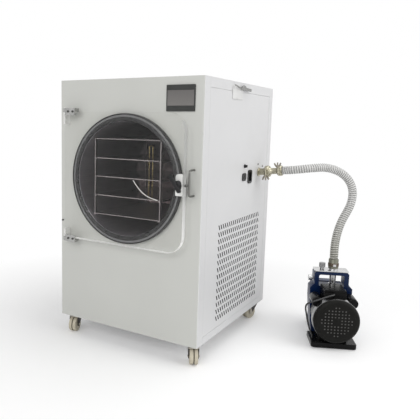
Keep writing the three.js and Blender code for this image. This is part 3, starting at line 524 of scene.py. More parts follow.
def grid_faces(rows, columns, closed=False):
    """Quads of a grid of points whose columns run round, and its rows too where it is closed."""
    a, b = np.meshgrid(np.arange(rows if closed else rows - 1), np.arange(columns), indexing="ij")
    a2, b2 = (a + 1) % rows, (b + 1) % columns
    corners = [a * columns + b, a2 * columns + b, a2 * columns + b2, a * columns + b2]
    return np.stack(corners, -1).reshape(-1, 4)


def smooth(mesh, sharp):
    """Shades the mesh smooth, up to the given angle in degrees."""
    mesh.polygons.foreach_set("use_smooth", np.ones(len(mesh.polygons), bool))
    mesh.set_sharp_from_angle(angle=math.radians(sharp))


def finish_mesh(mesh, sharp):
    """Merges doubles, turns the faces out and shades smooth up to the given angle."""
    work = bmesh.new()
    work.from_mesh(mesh)
    bmesh.ops.remove_doubles(work, verts=work.verts, dist=1e-7)
    bmesh.ops.recalc_face_normals(work, faces=work.faces)
    work.to_mesh(mesh)
    work.free()
    smooth(mesh, sharp)


def dress(made, finish, node=None):
    """Puts a piece in its finish, or in several, one for each material index.

    It rides on its node's body and stands in for the node; a piece without one is the cabinet's.
    """
    names = [finish] if isinstance(finish, str) else list(finish)
    marks = np.zeros(len(made.data.polygons), np.int32)
    made.data.polygons.foreach_get("material_index", marks)
    made.data.materials.clear()
    for name in names:
        made.data.materials.append(FINISHES[name])
    made.data.polygons.foreach_set("material_index", marks)
    body = body_of(frame["nodes"][node])[0] if node else "cabinet"
    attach(made, body)
    if node:
        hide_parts(node)
    return made


def ease(made, width, sharp=SHARP, weighted=False):
    """A live round of the given width in millimetres on every sharp edge."""
    bevel = made.modifiers.new("ease", "BEVEL")
    bevel.width = width * MM
    bevel.segments = ROUND_STEPS
    bevel.limit_method = "WEIGHT" if weighted else "ANGLE"
    bevel.angle_limit = math.radians(sharp)
    bevel.harden_normals = not weighted


def piece(name, shape, finish, node=None, sharp=SHARP, width=0):
    """One named piece from its shape: points in metres, faces and, at times, finish indices."""
    points, faces, *which = shape
    mesh = bpy.data.meshes.new(name)
    mesh.from_pydata(points.tolist(), [], [list(map(int, face)) for face in faces])
    if which:
        mesh.polygons.foreach_set("material_index", np.asarray(which[0], np.int32))
    finish_mesh(mesh, sharp)
    made = put(name, mesh)
    if width:
        ease(made, width, sharp)
    return dress(made, finish, node)


def merged(*shapes):
    """Several closed surfaces as one shape."""
    points, faces, which, start = [], [], [], 0
    for own_points, own_faces, *marks in shapes:
        points.append(own_points)
        faces += [[int(i) + start for i in face] for face in own_faces]
        which += list(marks[0]) if marks else [0] * len(own_faces)
        start += len(own_points)
    return np.vstack(points), faces, which


def eased(node, finish, width, longer=0.0, split=None):
    """A rigid piece with its edges eased: its merged surface with a narrow round on each edge.

    With longer, only edges over that length in metres are eased, and the flat sheets between
    them are shaded flat. With split, a function of a face's normal and middle gives each face's
    material index.
    """
    mesh = frame["nodes"][node].data.copy()
    work = bmesh.new()
    work.from_mesh(mesh)
    bmesh.ops.remove_doubles(work, verts=work.verts, dist=1e-6)
    flat = math.radians(0.5)
    bmesh.ops.dissolve_limit(work, angle_limit=flat, verts=work.verts, edges=work.edges)
    if longer:
        layer = work.edges.layers.float.new("bevel_weight_edge")
        for edge in work.edges:
            turn = edge.calc_face_angle(0) if edge.is_manifold else 0
            edge[layer] = float(edge.calc_length() > longer and turn > math.radians(SHARP))
    if split:
        for face in work.faces:
            face.material_index = split(face.normal, face.calc_center_median())
    work.to_mesh(mesh)
    work.free()
    if longer:
        mesh.polygons.foreach_set("use_smooth", np.zeros(len(mesh.polygons), bool))
    else:
        smooth(mesh, SHARP)
    made = put(node + "_dressed", mesh)
    ease(made, width, weighted=bool(longer))
    return dress(made, finish, node)


# ------ basic shapes
def turned(axis, profile, centre=(0, 0), sides=64, where=cabinet, which=None, start=0):
    """A turned form: a profile of (place along the axis, distance from it) carried round.

    Each point is the start plus the place along, and the distance times the cosine and sine of
    the angle. Profile points at distance 0 close the form; without them it closes on itself.
    """
    path = np.asarray(profile, float)
    s = np.repeat(start + path[:, 0:1], sides, 1)
    u = centre[0] + path[:, 1:2] * np.cos(around(sides))
    v = centre[1] + path[:, 1:2] * np.sin(around(sides))
    order = {"x": (s, u, v), "y": (u, s, v), "z": (u, v, s)}[axis]
    points = where(np.stack(order, -1).reshape(-1, 3))
    faces = grid_faces(len(path), sides, closed=path[0, 1] > 0)
    return (points, faces) if which is None else (points, faces, np.repeat(which, sides))


def rod(axis, radius, low, high, centre, sides, where=cabinet):
    """A plain round bar: a turned form with one radius from low to high."""
    profile = [(low, 0), (low, radius), (high, radius), (high, 0)]
    return turned(axis, profile, centre, sides, where)


def rounded_plate(a0, a1, b0, b1, radii, steps=8):
    """Outline of a plate: four corner arcs, from the low corner round, each a quarter circle."""
    radii = np.ones(4) * radii
    centres = [(a0, b0, 1, 1), (a1, b0, -1, 1), (a1, b1, -1, -1), (a0, b1, 1, -1)]
    turn = np.linspace(0, TAU / 4, steps)
    arcs = []
    for k, (a, b, sa, sb) in enumerate(centres):
        angle = turn + TAU / 2 + k * TAU / 4
        r = max(radii[k], 1e-3)
        arcs.append(np.stack([a + sa * r + r * np.cos(angle), b + sb * r + r * np.sin(angle)], 1))
    return np.vstack(arcs)


def ring_of(radius, centre):
    """Outline round a centre: the radius, one number or one for each angle, carried round."""
    angle = around(96)
    return np.column_stack([centre[0] + radius * np.cos(angle), centre[1] + radius * np.sin(angle)])


def spun(outline, angle, centre):
    """An outline turned about its own origin, which is then placed at the centre."""
    a, b = np.asarray(outline, float).T
    across = a * math.cos(angle) - b * math.sin(angle)
    rise = a * math.sin(angle) + b * math.cos(angle)
    return np.column_stack([centre[0] + across, centre[1] + rise])


def pushed(outline, axis, low, high, where=cabinet):
    """An outline pushed from low to high along an axis and closed by its two ends."""
    flat = np.asarray(outline, float)
    n = len(flat)
    points = np.vstack([np.column_stack([np.full(n, s), flat]) for s in (low, high)])
    order = {"x": [0, 1, 2], "y": [1, 0, 2], "z": [1, 2, 0]}[axis]
    faces = grid_faces(2, n).tolist() + [list(range(n))[::-1], list(range(n, 2 * n))]
    return where(points[:, order]), faces


def box(x0, x1, y0, y1, z0, z1, where=cabinet):
    """A block by its low and high corners."""
    return pushed([(x0, y0), (x1, y0), (x1, y1), (x0, y1)], "z", z0, z1, where)


def lengths(route):
    """Length along a route up to each of its points."""
    return np.concatenate([[0], np.cumsum(np.linalg.norm(np.diff(route, axis=0), axis=1))])


def smooth_route(points, steps):
    """A Catmull-Rom curve through the points, read off at equal steps of its length."""
    p = np.vstack([2 * points[0] - points[1], points, 2 * points[-1] - points[-2]])
    t = np.linspace(0, 1, 24, endpoint=False)[:, None]
    a, b, c, d = (p[i:len(p) - 3 + i, None, :] for i in range(4))
    bend = (2 * a - 5 * b + 4 * c - d) * t**2 + (3 * b - a - 3 * c + d) * t**3
    curve = 0.5 * (2 * b + (c - a) * t + bend)
    curve = np.vstack([curve.reshape(-1, 3), points[-1]])
    along = lengths(curve)
    wanted = np.linspace(0, along[-1], steps)
    return np.stack([np.interp(wanted, along, curve[:, k]) for k in range(3)], 1), wanted


def carried_frames(route, start):
    """Two unit normals at each point of a route, carried along it with the least twist."""
    ahead = np.gradient(route, axis=0)
    ahead /= np.linalg.norm(ahead, axis=1)[:, None]
    side = np.zeros_like(route)
    first = np.cross(ahead[0], start)
    if np.linalg.norm(first) < 1e-6:
        first = np.cross(ahead[0], (1, 0, 0))
    side[0] = first / np.linalg.norm(first)
    for i in range(1, len(route)):
        s = side[i - 1] - ahead[i] * np.dot(side[i - 1], ahead[i])
        side[i] = s / np.linalg.norm(s)
    return side, np.cross(ahead, side)


def tube(route, radius, sides, start=(0, 0, 1)):
    """A capped tube: each point of the route plus the radius times a normal that turns round.

    The radius is in millimetres: one number, or one for each point of the route and angle.
    """
    one, two = carried_frames(route, start)
    turn = around(sides)[None, :, None]
    normals = np.cos(turn) * one[:, None, :] + np.sin(turn) * two[:, None, :]
    r = np.broadcast_to(radius, (len(route), sides)) * MM
    points = route[:, None, :] + r[..., None] * normals
    faces = grid_faces(len(route), sides).tolist()
    last = (len(route) - 1) * sides
    faces += [list(range(sides))[::-1], list(range(last, last + sides))]
    return points.reshape(-1, 3), faces


# ------ vacuum hose
HOSE_ROUTE = cabinet([
    [353.4, 168.7, 576.1], [369, 168.7, 577.9], [389.4, 168.9, 580.2], [409.4, 173.1, 582.9],
    [428.7, 181.1, 585.6], [447.3, 193, 588], [464.8, 208.6, 589.8], [480.8, 227.4, 589.7],
    [496.4, 244.3, 586.2], [511.7, 258.2, 580.3], [526, 269.1, 571.9], [538.8, 277.3, 561],
    [549.5, 283.1, 548], [557.9, 286.5, 532.8], [563.4, 287.7, 516], [565.9, 286.7, 497.9],
    [565.2, 283.7, 478.6], [561.5, 278.4, 458.6], [554.6, 270.7, 438.2], [546.7, 261.2, 418],
    [540.3, 252.5, 397.8], [535.6, 245.8, 377.5], [532.4, 240.4, 357.3], [530.7, 235, 337.3],
    [530.3, 229.5, 317.3], [530.8, 226.1, 297], [530.9, 226.2, 276.4],
])
HOSE_SIDES = 28
HOSE_PITCH = 7.4 * MM
HOSE_PLAIN = 14 * MM  # length at each end over which the ridge rises
HOSE_RADIUS, HOSE_RIDGE = 13.6, 1.05


def vacuum_hose():
    """Wire-wound hose: its radius plus a rounded ridge that climbs one pitch per turn."""
    def ridge(s):
        wave = np.cos(TAU * s[:, None] / HOSE_PITCH - around(HOSE_SIDES)[None, :])
        return np.clip((wave + 0.35) / 1.35, 0, 1) ** 0.8

    route, length = smooth_route(HOSE_ROUTE, 640)
    s = lengths(route)
    ends = np.clip(np.minimum(s, length[-1] - s) / HOSE_PLAIN, 0, 1)[:, None]
    radius = HOSE_RADIUS + HOSE_RIDGE * ends * ridge(s)
    made = piece("vacuum_hose_ribbed", tube(route, radius, HOSE_SIDES), "hose_pvc",
                 "vacuum_hose", sharp=80)
    layer = made.data.attributes.new("ridge", "FLOAT", "POINT")
    layer.data.foreach_set("value", ridge(length).astype(np.float32).ravel())


def lead(name, node, route, r, finish):
    """A thin lead: a round tube of one radius along a smooth route."""
    line, length = smooth_route(route, 110)
    made = piece(name, tube(line, r, 14), finish, node, sharp=60)


vacuum_hose()
lead("probe_lead_run", "probe_lead", cabinet([
    [28, -281, 553], [40, -281, 538], [60, -281, 519], [84, -281, 506], [108, -281, 500],
    [118, -281, 498],
]), 1.5, "lead_white")
lead("pump_lead_run", "pump_lead", pump([
    [-6, 17.5, 184], [-6, 10, 184.5], [-14, 0, 184], [-30, -5, 180], [-50, -6, 172],
    [-70, -3, 162.5], [-86, 4, 153], [-94, 11, 143], [-94.5, 17, 128], [-90, 23, 108],
    [-85, 28, 86], [-79, 32, 64], [-72, 34, 44], [-66, 35, 30], [-65.5, 35, 20.5],
]), 2.8, "lead_black")


# ------ cabinet, chamber and door
def sheet_metal():
    """The cabinet's panels, their long bends eased so that each seam is a fine groove."""
    ease_width, long_edge, margin = 1.1, 0.2, 9 * MM
    # the front's face takes the darker copy of the enamel, painted shade, and its side flanges take
    # the lighter copy, painted light
    eased("front_panel", ("front_enamel", "side_enamel"), ease_width, long_edge,
          lambda normal, middle: int(abs(normal.x) > 0.7))
    for node in ("rear_panel", "top_cover", "base_pan"):
        eased(node, "side_enamel", ease_width, long_edge)
    for node, way in (("left_panel", 1), ("right_panel", -1)):
        low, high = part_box(node)

        def inner(normal, middle):
            """1 on the face towards the inside and on the walls of the slots and holes, which get a
            near-black painted shade.
            """
            cut = abs(normal.x) < 0.5 and low.y + margin < middle.y < high.y - margin
            return int(normal.x * way > 0.9 or (cut and middle.z < high.z - margin))

        eased(node, ("side_enamel", "sheet_inside"), ease_width, long_edge, inner)


def vacuum_chamber():
    """Drum and dish, turned about Y: the dish is a quarter cosine, its knuckle an ellipse."""
    share = np.linspace(0, 1, 14)[:, None]
    turn = np.linspace(TAU / 4, 0, 8)[1:, None]

    def shell(deep, wide):
        dish = np.hstack([TUBE_END + deep + DISH_DEPTH * np.cos(share * TAU / 4), DISH * share])
        knuckle = np.hstack([TUBE_END + deep * np.sin(turn), DISH + wide * np.cos(turn)])
        return np.vstack([dish, knuckle])

    lip = [(-290.4, 183), (-291, 182.3), (-291, 179.7), (-290.4, 179)]
    profile = np.vstack([shell(16, 23), lip, shell(KNUCKLE, 19)[::-1]])
    drum = turned("y", profile, (0, CHAMBER_Z), 128)
    piece("chamber_drum", drum, "chamber_steel", "chamber", sharp=40)


def gasket():
    """Door seal: a ring with two rounded lips and a groove between them, turned about Y; the groove
    has a painted sheen of pale grey.
    """
    rim, lip_depth = -291.3, 3.2
    lips = []
    for middle, half in ((186.6, 6.2), (201.0, 2.3)):
        turn = np.linspace(TAU / 2, 0, 13)
        lips += [(SEAL + (1 - math.sin(a)) * lip_depth, middle + half * math.cos(a)) for a in turn]
    profile = [(rim, 183.3), (rim, 179.2)] + lips + [(FRONT, 203.3), (FRONT, 183.3)]
    # painted sheen: the groove and the lips' edges beside it are pale grey
    web = range(13, 16)  # the groove between the lips, and the edge of each lip beside it
    which = [int(i in web) for i in range(len(profile))]
    ring = turned("y", profile, (0, CHAMBER_Z), 160, which=which)
    piece("gasket_ring", ring, ("gasket_rubber", "gasket_web"), "door_gasket", sharp=50)


def clear_door():
    """Clear pane with its edges eased: the lower and latch-side edges get a painted glow."""
    def edge(normal, middle):
        """0 on the faces, top and hinge side, 1 on the lower edge and 2 on the latch side."""
        if abs(normal.y) > 0.9 or normal.x < -0.6 or normal.z > 0.6:
            return 0
        return 1 if normal.z < -0.25 else 2

    eased("door_pane", ("clear_acrylic", "edge_bright", "edge_faint"), 0.7, split=edge)


def lever():
    """Door handle: an oval hub, domed in front, and a leaning bar with round ends."""
    face = SEAL - PANE - BLOCK
    half_wide, half_tall, sides = 10.5, 15, 48
    dome = np.array([
        (face - 0.3, 0), (face - 0.3, 0.95), (face - 1.5, 1), (face - 8.5, 1), (face - 11, 0.93),
        (face - 12.2, 0.75), (face - 12.7, 0.4), (face - 12.8, 0),
    ])
    u = LATCH[0] + dome[:, 1:2] * half_wide * np.cos(around(sides))
    v = LATCH[1] + dome[:, 1:2] * half_tall * np.sin(around(sides))
    s = np.repeat(dome[:, 0:1], sides, 1)
    hub = (cabinet(np.stack([u, s, v], -1).reshape(-1, 3)), grid_faces(len(s), sides))
    spindle = rod("y", 6, face - 1, -294, LATCH, 24)
    bar = spun(rounded_plate(-22, 38, -5.5, 5.5, 5.4), math.radians(124), LATCH)
    handle = pushed(bar, "y", face - 21, face - 11)
    piece("door_lever", merged(hub, spindle, handle), "black_plastic", "latch_lever", width=1.6)


def striker():
    """Round staple on the front panel, with its stub and stop knob at mid height."""
    x, r, middle, front = 240, 3, 560.5, -313
    lower = [(x, FRONT, -37.5), (x, FRONT - 8, -37.5), (x, FRONT - 17, -37.5), (x, front + 7, -37),
             (x, front + 2, -35), (x, front, -30), (x, front, -18), (x, front, -6)]
    path = np.array(lower + [(a, b, -c) for a, b, c in lower[::-1]]) + (0, 0, middle)
    route, _ = smooth_route(cabinet(path), 90)
    stub = rod("x", 2, x - 9, x, (front, LATCH[1]), 20)
    knob = turned("x", [(-14, 0), (-14, 3.2), (-13, 4.3), (-11, 4.5), (-7, 4.5), (-6, 3.8), (-6, 0)],
                  (front, LATCH[1]), 28, start=x)
    piece("striker_staple", merged(tube(route, r, 20), stub, knob), "striker_steel", "door_striker")


def small_turned():
    """Buffer, fuse cap and two dome-headed screws, each turned about its own axis."""
    buffer = turned("y", [(0, 0), (0, 2.6), (-4.6, 2.6), (-6, 1.9), (-6.5, 0.9), (-6.5, 0)],
                    (-256, 398), 24, start=FRONT)
    piece("bumper_stud", buffer, "black_plastic", "door_bumper")
    cap = turned("x", [(253, 0), (253, 3.6), (265.3, 3.6), (265.3, 6), (268.4, 6), (269, 5.6),
                       (269.3, 4.8), (274.6, 4.5), (275, 4), (275, 0)], (33, 593.5), 40)
    piece("fuse_cap", cap, "black_plastic", "fuse_holder")
    head = [(264.6, 0), (264.6, 3.8), (265.6, 3.8), (266.6, 3.1), (267.2, 1.9), (267.4, 0)]
    heads = [turned("x", head, place, 24) for place in ((160, 594), (204, 585))]
    piece("side_screws", merged(*heads), "striker_steel")


def brass_pipes():
    """Hairpin: two upright pipes, a half-round socketed bend, two elbows to the dish."""
    y, low, high, x0, x1 = 47, 457, 640, -119.5, -104.5
    middle, half = (x0 + x1) / 2, (x1 - x0) / 2
    turn = np.linspace(TAU / 2, 0, 25)
    bend = np.column_stack([middle + half * np.cos(turn), np.full(25, y), high + half * np.sin(turn)])
    bend = np.vstack([(x0, y, high - 5), bend, (x1, y, high - 5)])
    parts = [tube(cabinet(bend), 3.8, 20, (0, 1, 0))]
    for x in (x0, x1):
        parts.append(rod("z", 3, low, high - 2, (x, y), 20))
        parts.append(rod("z", 3.6, low - 1, low + 9, (x, y), 20))
        out = math.hypot(x, low + 3 - CHAMBER_Z)
        reach = TUBE_END + KNUCKLE + DISH_DEPTH * math.cos(out / DISH * TAU / 4)
        parts.append(rod("y", 2.8, y, reach, (x, low + 3), 20))
    piece("brass_hairpin", merged(*parts), "brass", "feed_pipe")


def chamber_inside():
    """Cradle, welded rack and polished shelves."""
    eased("chamber_cradle", "zinc", 0.4)
    eased("shelf_rack", "stainless", 0.4)
    for count in (1, 2, 3):
        eased(f"shelf_{count}", "shelf_steel", 0.3)


def screen():
    """Blank display in its bezel."""
    eased("screen_bezel", "bezel_plastic", 0.7)
    eased("screen_glass", "display", 0.2)


def hinges():
    """White sleeves, and steel arms with dark bolt heads."""
    bolt_reach, heads_from = 4 * MM, cabinet((0, -320.3, 0))[1]
    for level, height in (("upper", 762.3), ("lower", 347.7)):
        bolts = [cabinet((x, 0, height)) for x in (-202, -183)]

        def bolt(normal, middle):
            """1 on the bolt heads, which stand proud of the arm."""
            near = min(math.hypot(middle.x - b[0], middle.z - b[2]) for b in bolts)
            return int(near < bolt_reach and middle.y < heads_from)

        eased("hinge_bracket_" + level, "white_plastic", 0.7)
        eased("hinge_arm_" + level, ("hinge_steel", "bolt_dark"), 0.6, split=bolt)


def fittings():
    """Latch, sockets and the cooling parts: their own forms, each edge a little rounded."""
    for node, finish, width in (
        ("latch_block", "white_plastic", 1.2), ("latch_catch", "steel", 0.5),
        ("power_inlet", "black_plastic", 0.8), ("pump_outlet", "black_plastic", 0.7),
        ("side_latch_plate", "plate_paint", 0.5), ("side_latch_lever", "latch_steel", 1.0),
        ("compressor", "pump_black", 1.5), ("condenser", "coil_aluminium", 0.5),
        ("condenser_fan", "black_plastic", 0.4),
    ):
        eased(node, finish, width)


# ------ the side port
def port_pipe():
    """Pipe from the chamber's back to the panel, its wall flange, and the leaning outer pipe."""
    y, z = PORT
    inside = [(0, 86.3), (0, 112), (4, 138), (22, 160)] + [(x, y) for x in (52, 100, 150, 200, 240)]
    route, _ = smooth_route(cabinet([(a, b, z) for a, b in inside]), 60)
    wall = turned("x", [(236, 0), (236, 10), (265.3, 10), (265.3, 15.5), (268.6, 15.5),
                        (269.5, 14.6), (269.5, 0)], PORT, 48)
    outer = turned("x", [(-2, 0), (-2, 10), (5, 10), (5.8, 11.6), (7, 12), (20.5, 12), (22, 12.8),
                         (23.5, 14.4), (25, 15), (34, 15), (34, 0)], where=port, sides=48)
    piece("port_pipe_run", merged(tube(route, 9.5, 24), wall, outer), "port_nickel", "port_pipe")


def port_fittings():
    """Reducer, hose tail and two clamps with wing nuts, turned about the port's own X."""
    reducer = [(34.3, 0), (34.3, 15), (40, 15), (42.5, 14.1), (45, 12.7), (48, 11.5), (52, 10.8),
               (70, 10.8), (72, 11.5), (74.5, 13), (79.35, 13), (79.35, 0)]
    tail = [(79.65, 0), (79.65, 13), (84, 13), (85.4, 11.6), (86.5, 10.5), (88.7, 10.5), (88.7, 0)]
    for name, node, profile in (("reducer_turned", "port_reducer", reducer),
                                ("hose_tail_turned", "hose_tail", tail)):
        form = turned("x", profile, where=port, sides=48)
        piece(name, form, "port_nickel", node, width=0.3)
    for side, x, r, low, high in (("inner", NUT[0], 20.5, -11, 8), ("outer", 79.5, 18.5, -8, 11)):
        half = [(8, r - 5.2), (8, r - 2.2), (7, r - 1.2), (4, r)]
        profile = [(-s, out) for s, out in half] + half[::-1]
        parts = [turned("x", profile, where=port, start=x)]
        lug = rounded_plate(x - 6.5, x + 6.5, -r - 12, -r + 4, [5, 5, 0.2, 0.2])
        for z0, z1 in ((low, -0.6), (0.6, high)):
            parts.append(pushed(lug, "z", z0, z1, port))
        node = "clamp_" + side
        piece(node + "_ring", merged(*parts), "port_nickel", node, width=0.7)
        eased("wing_nut_" + side, "nut_nickel", 0.9)


# ------ casters
def casters():
    """Yokes with painted shade on their cheeks, and wheels turned about their own axle with two
    treads and painted shade in the groove between them.
    """
    half = [(1.2, 21.4), (1.7, 24.3), (2.8, 24.9), (6.5, 25), (10.4, 24.9), (12, 24.2),
            (12.8, 22.6), (13, 19.6), (12.1, 18), (12.1, 9.4), (12.9, 8.2), (13, 4.5)]
    profile = [(-s, r) for s, r in half[::-1]] + half
    # the groove between the treads gets a dark colour: painted shade
    groove = range(len(half) - 2, len(half) + 1)
    which = [int(i in groove) for i in range(len(profile))]
    beside_wheel, under_crown, axle_reach = 13 * MM, 50.5 * MM, 4.2 * MM
    for corner in ("front_left", "front_right", "rear_left", "rear_right"):
        roll = JOINTS["roll_" + corner]
        axle, across = Vector(roll["pos_m"]), Vector(roll["axis"])
        wheel = turned("x", profile, where=Axes(axle, across), which=which)
        piece("wheel_turned_" + corner, wheel, ("caster_nylon", "groove_rubber"), "wheel_" + corner)

        def cheek(normal, middle):
            """1 on the cheeks beside the wheel, apart from the ends of the axle: these get painted
            shade.
            """
            offset = middle - axle
            aside = offset.dot(across)
            from_axle = (offset - across * aside).length
            return int(abs(aside) > beside_wheel and middle.z < under_crown
                       and from_axle > axle_reach)

        eased("fork_" + corner, ("zinc", "fork_dark"), 0.6, split=cheek)


# ------ the pump
FIELD = 54  # radius of the fan cover's pierced face


def cover_rim():
    """Fan cover's rim, its shoulder a quarter ellipse, turned about Y."""
    near = COVER_NEAR
    turn = np.linspace(TAU / 4, 0, 12)
    shoulder = [(-8 - 14 * math.sin(a), 61 + 13.6 * math.cos(a)) for a in turn]
    inner = [(17, 66.3), (-12, 66.3), (-17, 64), (near + 2.5, 60), (near + 2.5, FIELD)]
    ridge = [(near + 0.6, FIELD), (near + 0.6, 56.4), (near, 57), (near, 59.5)]
    profile = ridge + shoulder + [(16.4, 74.6), (17, 74)] + inner
    skirt = range(len(ridge) + 8, len(ridge) + 13)
    which = [int(i in skirt) for i in range(len(profile))]
    rim = turned("y", profile, (0, MOTOR_Z), 96, pump, which)
    piece("fan_cover_rim", rim, ("pump_grille", "pump_rim"), "pump_fan_cover")


def cover_face():
    """Flat disc with a grid of square holes, but none at its middle."""
    holes, pitch, half, corner = 10, 10.5, 2.4, 0.9
    places = (np.arange(holes) - (holes - 1) / 2) * pitch
    a, b = (grid.ravel() for grid in np.meshgrid(places, places))
    reach = np.hypot(a, b) / pitch
    kept = (reach > 0.8) & (reach < 4.6)
    loops = [ring_of(FIELD, (0, MOTOR_Z))]
    for x, z in zip(a[kept], b[kept] + MOTOR_Z):
        loops.append(rounded_plate(x - half, x + half, z - half, z + half, corner, 3))
    work = bmesh.new()
    for loop in loops:
        place = np.full(len(loop), COVER_NEAR + 0.6)
        corners = [work.verts.new(p) for p in pump(np.column_stack([loop[:, 0], place, loop[:, 1]]))]
        for one, two in zip(corners, corners[1:] + corners[:1]):
            work.edges.new((one, two))
    bmesh.ops.triangle_fill(work, use_beauty=True, edges=work.edges[:])
    outward = Vector(-pump.y)
    for face in work.faces:
        if face.normal.dot(outward) < 0:
            face.normal_flip()
    mesh = bpy.data.meshes.new("fan_cover_face")
    work.to_mesh(mesh)
    work.free()
    made = put("fan_cover_face", mesh)
    wall = made.modifiers.new("wall", "SOLIDIFY")
    wall.thickness = 1.9 * MM
    wall.offset = -1
    dress(made, "pump_grille")


def fan_wheel():
    """The cover's blank hub, and the fan behind it: a disc with straight vanes round its back."""
    vanes = 9
    hub = turned("y", [(0.5, 0), (0.5, 4.4), (0, 4.4), (-0.4, 3.6), (-0.5, 0)], (0, MOTOR_Z), 32,
                 pump, start=COVER_NEAR)
    piece("fan_cover_hub", hub, "pump_grille")
    disc = [(-19.2, 0), (-19.2, 50), (-18, 51), (-15, 50), (-15, 0)]
    fan = [turned("y", disc, (0, MOTOR_Z), where=pump)]
    vane = [(14, -0.8), (49, -0.8), (49, 0.8), (14, 0.8)]
    for angle in around(vanes):
        fan.append(pushed(spun(vane, angle, (0, MOTOR_Z)), "y", -15.2, 2, pump))
    piece("fan_wheel", merged(*fan), "fan_plastic")


def motor():
    """Motor can with its legs, terminal box and two capacitor covers."""
    can = [(4, 0), (4, 63), (4.8, 65), (7, 66), (95, 66), (98, 64.5), (100, 61), (100, 0)]
    cover = [(22, 0), (22, 15), (23, 16.6), (24.5, 17), (84, 17), (88, 15.8), (90, 13), (90, 0)]
    piece("motor_case", merged(
        turned("y", can, (0, MOTOR_Z), 96, pump),
        box(-44, -30, 24, 78, 20.3, 60, pump),
        box(30, 44, 24, 78, 20.3, 60, pump),
        pushed(rounded_plate(-38, 34, 150, 187, 0.5), "y", 18, 92, pump),
        pushed(rounded_plate(-38, 34, 187.7, 196, [1, 1, 6, 6]), "y", 18, 92, pump),
        box(-36, 32, 20, 90, 186, 189, pump),
        turned("y", cover, (-57, 151), 48, pump),
        turned("y", cover, (57, 151), 48, pump),
    ), "pump_black", "pump_motor", width=0.6)


def pump_body():
    """Base, painted casting with its hoop handle, and the oil case with its sight glass."""
    eased("pump_base", "pump_black", 1.5)
    eased("pump_casting", "pump_blue", 1.8)
    back, glass_at = 196.6, (0, 84)
    shell = pushed(rounded_plate(-46, 46, 24, 168, [8, 8, 20, 20]), "y", back, back + 66, pump)
    boss = turned("y", [(60, 0), (60, 20), (69, 20), (70, 19), (70, 16), (69, 15), (67, 15), (67, 0)],
                  glass_at, where=pump, start=back)
    drain = turned("y", [(60, 0), (60, 7), (73, 7), (74, 6), (74, 0)], (26, 38), 6, pump, start=back)
    piece("oil_case_shell", merged(shell, boss, drain), "pump_blue", "pump_oil_case", width=2.2)
    glass = turned("y", [(66, 0), (66, 14.9), (67.6, 14.9), (68.6, 9), (68.9, 0)],
                   glass_at, 48, pump, start=back)
    piece("sight_glass", glass, "sight_glass")


def inlet():
    """Bright top plate and band screw, and the inlet stack with its clamp band and hose cuff."""
    silver, band, cuff = 0, 1, 2
    which = [silver] * 7 + [cuff] * 2 + [band] * 3 + [cuff] * 3
    deck = pushed(rounded_plate(-57, 56, 100, 153, 4), "z", 235.3, 238.5, pump)
    stack = turned("z", [
        (184.3, 0), (184.3, 14), (189, 14), (192, 11), (220, 11), (222, 15), (242, 15), (244, 17),
        (251, 17), (251.6, 18), (261.4, 18), (262, 16.9), (263, 16.5), (275, 16.5), (276, 15.9),
        (276, 0),
    ], (7.7, 127), 64, pump, which)
    screw = box(3, 13, 106.4, 111.4, 252.5, 260.5, pump)
    piece("inlet_stack", merged(deck, stack, screw), ("pump_silver", "clamp_band", "cuff"),
          "pump_inlet", width=0.4)


def pump_knobs():
    """Exhaust cap with eight soft lobes and ballast knob with 24 fine ones: a waved radius."""
    cap_at, knob_at = (-30, 124), KNOB[1:]
    lobes = ring_of(9.8 + 0.6 * np.cos(8 * around(96)), cap_at)
    neck = rod("z", 7, 238.8, 247, cap_at, 32, pump)
    cap = merged(pushed(lobes, "z", 246, 262, pump), neck)
    piece("exhaust_cap", cap, "cap_chrome", "pump_exhaust", sharp=40, width=0.8)
    knurl = ring_of(9.3 + 0.2 * np.cos(24 * around(96)), knob_at)
    stem = rod("x", 5, -57.3, -63, knob_at, 32, pump)
    turned_knob = merged(pushed(knurl, "x", -74, -62.6, pump), stem)
    piece("ballast_knob_turned", turned_knob, "pump_silver", "pump_ballast_knob", sharp=40,
          width=0.7)


for build in (
    sheet_metal, vacuum_chamber, gasket, clear_door, lever, striker, small_turned, brass_pipes,
    chamber_inside, screen, hinges, fittings, port_pipe, port_fittings, casters, cover_rim,
    cover_face, fan_wheel, motor, pump_body, inlet, pump_knobs,
):
    build()


# ------ stage
ROOM = 0.5  # light of the room on the object
FLOOR_LIFT = 0.12  # light added to the floor near the object, as the camera sees it


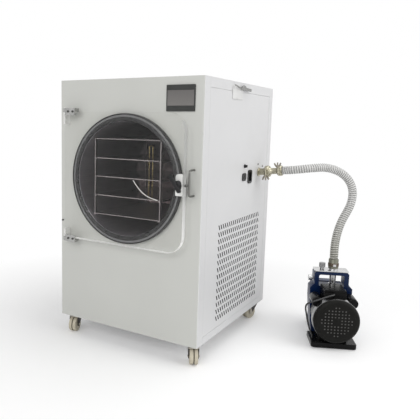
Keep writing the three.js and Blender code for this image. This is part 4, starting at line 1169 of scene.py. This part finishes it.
def floor():
    """Pale seamless paper: lit and shaded near the object, plain white further out."""
    reach, fade_from, fade_to = 12, 0.5, 1.2
    mesh = bpy.data.meshes.new("floor")
    corners = [(-reach, -reach, 0), (reach, -reach, 0), (reach, reach, 0), (-reach, reach, 0)]
    mesh.from_pydata(corners, [], [(0, 1, 2, 3)])
    sheet = put("floor", mesh)
    made = Finish("floor_paper", (0.92, 0.92, 0.92), 0.9)
    made.set("Specular IOR Level", 0.1)
    made.shades(made.noise(2, 2), 0.997, 1.003)
    paper = made.shader.outputs["BSDF"]
    far = made.spread(made.away(cabinet((40, 0, 0))), 0, 1, fade_from, fade_to)
    lift = made.node("Emission", Strength=FLOOR_LIFT)
    white = made.node("Emission", Strength=1.0)
    lifted = made.node("AddShader")
    made.join(paper, lifted.inputs[0])
    made.join(lift.outputs["Emission"], lifted.inputs[1])
    seen = made.mix(far, lifted.outputs["Shader"], white.outputs["Emission"])
    made.show(made.mix(made.seen_directly(), paper, seen))
    mesh.materials.append(made.material)


def studio():
    """An even pale room, which the camera and the gloss of the object see as white."""
    world = bpy.data.worlds.new("studio")
    bpy.context.scene.world = world
    world.use_nodes = True
    made = Nodes(world.node_tree)
    room, white = made.tree.nodes["Background"], made.node("Background")
    for light, strength in ((room, ROOM), (white, 1.0)):
        light.inputs["Color"].default_value = (1, 1, 1, 1)
        light.inputs["Strength"].default_value = strength
    lights = (light.outputs["Background"] for light in (room, white))
    made.show(made.mix(made.seen_directly(), *lights), "World Output")


def lamp(name, place, target, size, power):
    """A white area lamp at a place, turned towards its target; metres and watts."""
    data = bpy.data.lights.new(name, "AREA")
    data.shape = "RECTANGLE"
    data.size, data.size_y = size
    data.energy = power
    made = put(name, data)
    made.location = place
    made.rotation_mode = "QUATERNION"
    made.rotation_quaternion = (Vector(target) - Vector(place)).to_track_quat("-Z", "Y")


floor()
studio()
lamp("key", (2.7, 0.2, 1.8), (0, 0, 0.4), (1.8, 1.8), 25)
lamp("front_fill", (0.1, -3.1, 1.9), (0, 0, 0.4), (2.6, 1.8), 36)
lamp("overhead", (0.7, 0.35, 2.9), (0.1, 0, 0), (2.4, 2.4), 24)

bpy.context.scene.view_settings.view_transform = "Standard"
